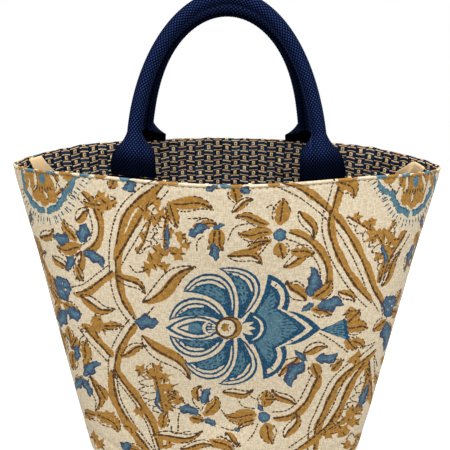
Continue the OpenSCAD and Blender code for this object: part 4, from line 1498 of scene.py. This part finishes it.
def build_webbing(name, form, sizes, colours, material, lean, bell, turn, sway, inner_shade):
    """One handle as a closed strip; sway lists its sideways hang from the left foot to the right."""
    web = Webbing(form, sizes, lean, bell)
    hang = np.poly1d(np.polyfit(*np.array(sway).T, 5))
    tuck = HANDLE_TUCK + web.stand - form.height
    tuck_rows = np.linspace(tuck, 0, TUCK_ROWS)[:-1]
    low = 1.3 * web.bell
    bell_rows = np.arange(0, low, BELL_STEP)
    rows = np.concatenate([
        -tuck_rows, bell_rows, np.linspace(low, web.length - low, GRIP_ROWS),
        (web.length - bell_rows)[::-1], web.length + tuck_rows[::-1]
    ])
    half = web.width / 2
    columns = np.linspace(-half, half, WEBBING_COLUMNS)
    s, v = np.meshgrid(rows, columns, indexing="ij")

    def pattern(s, v):
        """Raised dots in rows, from -1 to 1."""
        return np.cos(2 * np.pi * s / DOT_LONG) * np.cos(2 * np.pi * v / DOT_WIDE)

    def place(s, v, behind, dot):
        """Points of one face, which lies behind the outer one and has dots that stand out."""
        edge = np.clip((half - np.abs(v)) / EDGE_ROUND, 0, 1)
        depth = behind + dot * pattern(s, v) * edge
        points = web.loop(np.clip(s, 0, web.length), v, depth)
        for side, below in ((-1, -s), (1, s - web.length)):
            picked = below > 1e-9
            if picked.any():
                points[picked] = web.tucked(side, below[picked], v[picked], depth[picked])
        along = np.clip(s / web.length, 0, 1)
        points[..., 0] += turn * hang(along if turn > 0 else 1 - along)
        return points

    front = place(s, v, 0.0, -DOT_RISE)
    back = place(s, v, web.thick, INNER_DOT_RISE)
    n, m = s.shape
    front_faces = grid_faces(n, m)
    back_faces = front_faces[:, ::-1] + n * m
    left, right = (np.arange(n) * m + column for column in (0, m - 1))
    first, last = (row * m + np.arange(m) for row in (0, n - 1))
    sides = []
    for index, flip in ((left, True), (right, False), (first, False), (last, True)):
        strip = np.stack([index[:-1], index[1:], index[1:] + n * m, index[:-1] + n * m], axis=-1)
        sides.append(strip[:, ::-1] if flip else strip)
    faces = np.concatenate([front_faces, back_faces, *sides])[:, ::-1]
    spin = np.array([turn, turn, 1])
    flat = np.concatenate([
        np.stack([v + apart, s], axis=-1).reshape(-1, 2) for apart in (0, web.width + 4)
    ])
    face_s, face_v = (np.tile(values.ravel(), 2)[faces].mean(axis=1) for values in (s, v))
    # Painted light and shade: faces on the raised dots take the lighter webbing colour, those in the hollows
    # the near-black one
    raised = np.clip((pattern(face_s, face_v) - 0.1) / 0.7, 0, 1) ** 1.3
    share = web.rolled_share(np.clip(face_s, 0, web.length))
    near_side = np.where(face_s < web.length / 2, 1, -1)
    line = swell(face_v / web.width * near_side, GRIP_LINE, GRIP_LINE_SPREAD) * ease(share * 1.4 - 0.4)
    raised = np.maximum(raised, line)[:, None]
    # Painted shade: the flat ends, the outer edges and the inner face are darkened
    wear_and_painted_shade = mix(FLAT_SHADE, 1.0, ease(share * 2.2)) * (1 - EDGE_SHADE * ease(2 * np.abs(face_v) / half - 1))
    wear_and_painted_shade[len(front_faces):] *= inner_shade
    rgb = mix(np.array(colours.webbing_low), np.array(colours.webbing), raised) * wear_and_painted_shade[:, None]
    tint = np.concatenate([rgb, np.ones_like(raised)], axis=1)
    points = np.concatenate([front.reshape(-1, 3), back.reshape(-1, 3)]) * spin
    return make_piece(name, points, faces, material, flat, tint)


# Tapes and threads

TAPE_IN = 3.7
TAPE_T = 0.8
TAPE_FOOT_INSET = 16.5
TAPE_BELOW_RIM = 1.4
TAPE_RIDGE = 0.4
TAPE_COLUMNS = 29
TAPE_ROWS = 120
# Length of the loose top, and how far it bows off the wall
TAPE_LOOSE = 24.0
TAPE_BOW = 2.2
# Loose tops: share of the width, inset from the side, lift off the wall and drop
LEFT_TOP = ((0.0, 11.0, 0.0, 0.0), (0.5, 15.3, 0.5, 0.0), (1.0, 19.7, 0.0, 0.0))
RIGHT_TOP = (
    (0.0, 9.0, 1.2, 4.0), (0.12, 11.0, 2.4, 3.0), (0.30, 14.5, 4.6, 1.5), (0.46, 19.0, 6.8, 0.0),
    (0.52, 16.8, 0.6, 1.5), (0.62, 19.6, 0.9, 3.0), (0.8, 24.0, 3.0, 8.5), (1.0, 29.0, 4.0, 14.0),
)


def build_tape(name, form, sizes, side, top, material):
    """A tape beside a side seam of the lining, on the back wall, with a loose top."""
    width = sizes.tape_width / MM
    shares, insets, lifts, drops = np.array(top).T
    share, t = np.meshgrid(np.linspace(0, 1, TAPE_COLUMNS), np.linspace(0, 1, TAPE_ROWS))
    z = mix(form.edge, form.height - TAPE_BELOW_RIM - np.interp(share, shares, drops), t)
    loose = np.clip((z - (form.height - TAPE_LOOSE)) / TAPE_LOOSE, 0, 1)
    plain = TAPE_FOOT_INSET + width * share
    away = mix(plain, np.interp(share, shares, insets), loose)
    lift = np.interp(share, shares, lifts) * loose + TAPE_RIDGE * swell(share, 0.5, 0.05) * (1 - loose)
    lift = lift + TAPE_BOW * np.sin(math.pi * np.clip((z - form.height) / TAPE_LOOSE + 1, 0, 1))
    x = side * (form.half_width(z / form.height) - away)
    layers = [form.at_x(-x, z, TAPE_IN + lift + deep) for deep in (TAPE_T, 0.0)]
    n, m = share.shape
    front = grid_faces(n, m)
    rim = np.concatenate([
        np.arange(m), np.arange(1, n) * m + m - 1,
        (n - 1) * m + np.arange(m - 1)[::-1], np.arange(1, n - 1)[::-1] * m,
    ])
    after = np.roll(rim, -1)
    band = np.stack([rim, rim + n * m, after + n * m, after], axis=-1)
    faces = np.concatenate([front, front[:, ::-1] + n * m, band])
    if side < 0:
        faces = faces[:, ::-1]
    points = np.concatenate([layer.reshape(-1, 3) for layer in layers]) * [-1, -1, 1]
    flat = np.concatenate([
        np.stack([(share + apart) * width, z], axis=-1).reshape(-1, 2) for apart in (0, 1.2)
    ])
    return make_piece(name, points, faces, material, flat)


def tape_material(colours):
    """Plain cotton tape with a fine grain along it."""
    desk = NodeDesk("binding_tape")
    grain = desk.noise(desk.cloth_place((1.5, 0.5, 1)), TAPE_SCALE)
    tape = tuple(colours.tape)
    wear_and_painted_shade = tuple(WORN_TAPE * v for v in tape)
    shaded = desk.blend(desk.ranged(grain, 0.35, 0.65, 0.0, 0.35), tape, wear_and_painted_shade)
    desk.join(shaded, desk.shader.inputs["Base Color"])
    desk.finish(Roughness=0.85, Sheen_Weight=0.6)
    desk.bump(grain, 0.3, 0.0003)
    return desk.material


STITCH_PITCH = 5.5
STITCH_LONG = 2.4
STITCH_R = 0.32
STITCH_RINGS = 7
STITCH_SIDES = 6
# The front's threads and the back's lie this far apart on the flat map
STITCH_ROWS_APART = 400


def build_stitches(form, colours):
    """Threads that hold the rolled hem, one by one in its crease."""
    desk = NodeDesk("hem_thread")
    # The thread's dark colour is partly painted shade of the stitch dents
    desk.finish(Base_Color=(*colours.thread, 1), Roughness=0.8)
    reach = form.half_reach(form.height - HEM_FOOT)
    t = np.linspace(0, 1, STITCH_RINGS)
    r = STITCH_R * np.sqrt(np.clip(np.sin(np.pi * np.clip(t, 0.03, 0.97)), 0, 1))
    turn = np.linspace(0, 2 * math.pi, STITCH_SIDES, endpoint=False)[:, None]
    up = np.array([0, 0, 1.0])
    tube = np.array([
        (a, a + STITCH_SIDES, b + STITCH_SIDES, b)
        for k in range(0, (STITCH_RINGS - 1) * STITCH_SIDES, STITCH_SIDES)
        for a, b in ((k + j, k + (j + 1) % STITCH_SIDES) for j in range(STITCH_SIDES))
    ])
    points, faces = [], []
    for way in (1, -1):
        for start in np.arange(-reach + 4, reach - 6, STITCH_PITCH):
            height = form.height - HEM_FOOT + 0.4 + 0.5 * t
            line = form.at(start + t * STITCH_LONG, height, 0.35 - 0.5 * np.sin(np.pi * t))
            run = line[-1] - line[0]
            run /= np.linalg.norm(run)
            hoop = np.cos(turn) * up + np.sin(turn) * np.cross(run, up)
            faces.append(tube + len(points) * STITCH_RINGS * STITCH_SIDES)
            points.append((line[:, None] + hoop * r[:, None, None]).reshape(-1, 3) * [way, way, 1])
    points = np.concatenate(points)
    flat = np.stack([points[:, 0] + np.where(points[:, 1] > 0, STITCH_ROWS_APART, 0), points[:, 2]], axis=1)
    return make_piece("hem_stitches", points, np.concatenate(faces), desk.material, flat)


# Stage

# Camera: aim and distance in metres, angles in degrees, and its focal length in pixels of the photo
VIEW_TARGET = (-0.0015, 0.0, 0.20275)
VIEW_DISTANCE = 0.836
VIEW_TURN, VIEW_RISE, VIEW_ROLL = -0.507, 19.248, 0.603
FOCAL_PIXELS = 954.18
PHOTO_PIXELS = 450
SENSOR_WIDTH = 36
# Lamps: name, place, size and watts
LAMPS = (
    ("left_softbox", (-1.5, -1.5, 1.5), (1.2, 1.4), 15),
    ("right_softbox", (1.6, -1.4, 1.3), (1.2, 1.4), 14),
    ("top_softbox", (0, -0.6, 1.9), (1.8, 1.2), 31),
    ("back_softbox", (0.9, 1.8, 1.2), (1.2, 1.4), 12),
)
LAMP_TARGET = (0, 0, 0.2)
# Light from all round, the floor's own glow, and the grey that it throws back
AMBIENT = 0.36
FLOOR_GLOW = 0.45
FLOOR_BOUNCE = (0.4, 0.4, 0.4, 1)
FLOOR_HALF = 0.95


def build_camera():
    """The photo's view."""
    turn, rise, roll = (math.radians(v) for v in (VIEW_TURN, VIEW_RISE, VIEW_ROLL))
    back = Vector((math.sin(turn) * math.cos(rise), -math.cos(turn) * math.cos(rise), math.sin(rise)))
    right = Vector((math.cos(turn), math.sin(turn), 0))
    up = back.cross(right)
    level = math.cos(roll) * right + math.sin(roll) * up
    plumb = -math.sin(roll) * right + math.cos(roll) * up
    data = bpy.data.cameras.new("view")
    data.lens = FOCAL_PIXELS / PHOTO_PIXELS * SENSOR_WIDTH
    data.sensor_width = SENSOR_WIDTH
    camera = bpy.data.objects.new("view", data)
    facing = Matrix((level, plumb, back)).transposed().to_4x4()
    camera.matrix_world = Matrix.Translation(Vector(VIEW_TARGET) + back * VIEW_DISTANCE) @ facing
    bpy.context.scene.collection.objects.link(camera)
    bpy.context.scene.camera = camera


def add_lamp(name, place, size, watts):
    """A soft rectangle of light that faces the bag."""
    data = bpy.data.lights.new(name, "AREA")
    data.shape = "RECTANGLE"
    data.size, data.size_y = size
    data.energy = watts
    lamp = bpy.data.objects.new(name, data)
    lamp.location = place
    lamp.rotation_euler = (Vector(LAMP_TARGET) - Vector(place)).to_track_quat("-Z", "Y").to_euler()
    bpy.context.scene.collection.objects.link(lamp)


def seen_rays(tree):
    """Whether a ray comes from the camera, a mirror or glass."""
    ray = tree.nodes.new("ShaderNodeLightPath")
    total = ray.outputs["Is Camera Ray"]
    for kind in ("Is Glossy Ray", "Is Transmission Ray"):
        both = tree.nodes.new("ShaderNodeMath")
        both.operation = "MAXIMUM"
        tree.links.new(total, both.inputs[0])
        tree.links.new(ray.outputs[kind], both.inputs[1])
        total = both.outputs[0]
    return total


def build_light():
    """Four lamps, and a white world that lights the bag more softly than it shows."""
    for name, place, size, watts in LAMPS:
        add_lamp(name, place, size, watts)
    world = bpy.data.worlds.new("studio")
    bpy.context.scene.world = world
    world.use_nodes = True
    tree = world.node_tree
    ambient = tree.nodes["Background"]
    ambient.inputs["Color"].default_value = (1, 1, 1, 1)
    ambient.inputs["Strength"].default_value = AMBIENT
    seen = tree.nodes.new("ShaderNodeBackground")
    seen.inputs["Strength"].default_value = 1.0
    seen.inputs["Color"].default_value = (1, 1, 1, 1)
    pick = tree.nodes.new("ShaderNodeMixShader")
    tree.links.new(seen_rays(tree), pick.inputs[0])
    tree.links.new(ambient.outputs[0], pick.inputs[1])
    tree.links.new(seen.outputs[0], pick.inputs[2])
    tree.links.new(pick.outputs[0], tree.nodes["World Output"].inputs["Surface"])


def build_floor(colours):
    """White paper that keeps the shadow, and throws back less light than it shows."""
    desk = NodeDesk("floor_paper")
    desk.finish(Base_Color=(*colours.floor, 1), Roughness=0.9, Specular_IOR_Level=0.1)
    glow = desk.add("ShaderNodeEmission", Strength=FLOOR_GLOW)
    total = desk.add("ShaderNodeAddShader")
    bounce = desk.add("ShaderNodeBsdfDiffuse", Color=FLOOR_BOUNCE)
    pick = desk.add("ShaderNodeMixShader")
    out = desk.tree.nodes["Material Output"]
    desk.join(desk.shader.outputs[0], total.inputs[0])
    desk.join(glow.outputs[0], total.inputs[1])
    desk.join(seen_rays(desk.tree), pick.inputs[0])
    desk.join(bounce.outputs[0], pick.inputs[1])
    desk.join(total.outputs[0], pick.inputs[2])
    desk.join(pick.outputs[0], out.inputs["Surface"])
    mesh = bpy.data.meshes.new("floor")
    corners = [(x * FLOOR_HALF, y * FLOOR_HALF, 0) for x, y in ((-1, -1), (1, -1), (1, 1), (-1, 1))]
    mesh.from_pydata(corners, [], [(0, 1, 2, 3)])
    mesh.materials.append(desk.material)
    floor = bpy.data.objects.new("floor", mesh)
    bpy.context.scene.collection.objects.link(floor)


# Operators and panel

# Shine of the lining and of the webbing
LINING_SHINE = 0.05
WEBBING_SHINE = 0.01


class TOTE_OT_outer_cloth(bpy.types.Operator):
    """Sew the printed front and back with their rolled hem"""

    bl_idname = "tote.outer_cloth"
    bl_label = "Outer cloth"

    def execute(self, context):
        form = BagForm(context.scene.tote_sizes)
        colours = context.scene.tote_colours
        front, back = build_outer(form, colours, printed_cotton(colours))
        settle(front, "printed_cotton", "outer_front_panel")
        settle(back, "printed_cotton", "outer_back_panel")
        return {"FINISHED"}


class TOTE_OT_base_cloth(bpy.types.Operator):
    """Lay the printed base and the base of the lining"""

    bl_idname = "tote.base_cloth"
    bl_label = "Base cloth"

    def execute(self, context):
        form = BagForm(context.scene.tote_sizes)
        colours = context.scene.tote_colours
        base = build_outer_base(form, colours, printed_cotton(colours))
        settle(base, "printed_cotton", "outer_base_panel")
        lining = build_lining_base(form, colours, weave_material("lining_base_weave", LINING_SHINE))
        settle(lining, "lining_weave", "lining_base_panel")
        return {"FINISHED"}


class TOTE_OT_lining(bpy.types.Operator):
    """Hang the woven lining inside"""

    bl_idname = "tote.lining"
    bl_label = "Lining"

    def execute(self, context):
        form = BagForm(context.scene.tote_sizes)
        colours = context.scene.tote_colours
        front, back = build_lining(form, colours, weave_material("lining_weave", LINING_SHINE))
        settle(front, "lining_weave", "lining_front_panel")
        settle(back, "lining_weave", "lining_back_panel")
        return {"FINISHED"}


class TOTE_OT_handles(bpy.types.Operator):
    """Sew in the two webbing handles"""

    bl_idname = "tote.handles"
    bl_label = "Handles"

    def execute(self, context):
        sizes = context.scene.tote_sizes
        form = BagForm(sizes)
        colours = context.scene.tote_colours
        material = weave_material("webbing", WEBBING_SHINE)
        for name, node, *hang in (
            ("front_handle_webbing", "front_handle", FRONT_LEAN, FRONT_BELL, 1, FRONT_SWAY, FRONT_INNER),
            ("back_handle_webbing", "back_handle", None, BACK_BELL, -1, BACK_SWAY, BACK_INNER),
        ):
            piece = build_webbing(name, form, sizes, colours, material, *hang)
            settle(piece, "webbing", node)
        return {"FINISHED"}


class TOTE_OT_tapes(bpy.types.Operator):
    """Lay the tapes beside the side seams"""

    bl_idname = "tote.tapes"
    bl_label = "Seam tapes"

    def execute(self, context):
        sizes = context.scene.tote_sizes
        form = BagForm(sizes)
        material = tape_material(context.scene.tote_colours)
        for name, node, side, top in (
            ("left_seam_tape", "left_seam_binding", -1, LEFT_TOP),
            ("right_seam_tape", "right_seam_binding", 1, RIGHT_TOP),
        ):
            piece = build_tape(name, form, sizes, side, top, material)
            settle(piece, "binding_tape", node)
        return {"FINISHED"}


class TOTE_OT_stitches(bpy.types.Operator):
    """Stitch the rolled hem"""

    bl_idname = "tote.stitches"
    bl_label = "Hem stitches"

    def execute(self, context):
        form = BagForm(context.scene.tote_sizes)
        settle(build_stitches(form, context.scene.tote_colours), "printed_cotton")
        return {"FINISHED"}


class TOTE_OT_stage(bpy.types.Operator):
    """Set up the floor, the light and the camera"""

    bl_idname = "tote.stage"
    bl_label = "Stage"

    def execute(self, context):
        build_floor(context.scene.tote_colours)
        build_light()
        build_camera()
        return {"FINISHED"}


class TOTE_PT_pieces(bpy.types.Panel):
    """Lists what the bag is dressed with"""

    bl_idname = "TOTE_PT_pieces"
    bl_label = "Printed cloth tote"
    bl_space_type = "VIEW_3D"
    bl_region_type = "UI"
    bl_category = "Tote"

    def draw(self, context):
        for group in (context.scene.tote_sizes, context.scene.tote_colours):
            box = self.layout.box()
            for key in group.__annotations__:
                box.prop(group, key)
        for operator in OPERATORS:
            self.layout.operator(operator.bl_idname)


OPERATORS = (
    TOTE_OT_outer_cloth, TOTE_OT_base_cloth, TOTE_OT_lining, TOTE_OT_handles, TOTE_OT_tapes, TOTE_OT_stitches,
    TOTE_OT_stage,
)
CLASSES = (ToteSizes, ToteColours, *OPERATORS, TOTE_PT_pieces)


def register():
    for cls in CLASSES:
        bpy.utils.register_class(cls)
    bpy.types.Scene.tote_sizes = PointerProperty(type=ToteSizes)
    bpy.types.Scene.tote_colours = PointerProperty(type=ToteColours)


def unregister():
    del bpy.types.Scene.tote_colours
    del bpy.types.Scene.tote_sizes
    for cls in reversed(CLASSES):
        bpy.utils.unregister_class(cls)


def main():
    register()
    bpy.context.scene.view_settings.view_transform = "Standard"
    for operator in OPERATORS:
        group, name = operator.bl_idname.split(".")
        getattr(getattr(bpy.ops, group), name)()


if __name__ == "__main__":
    main()
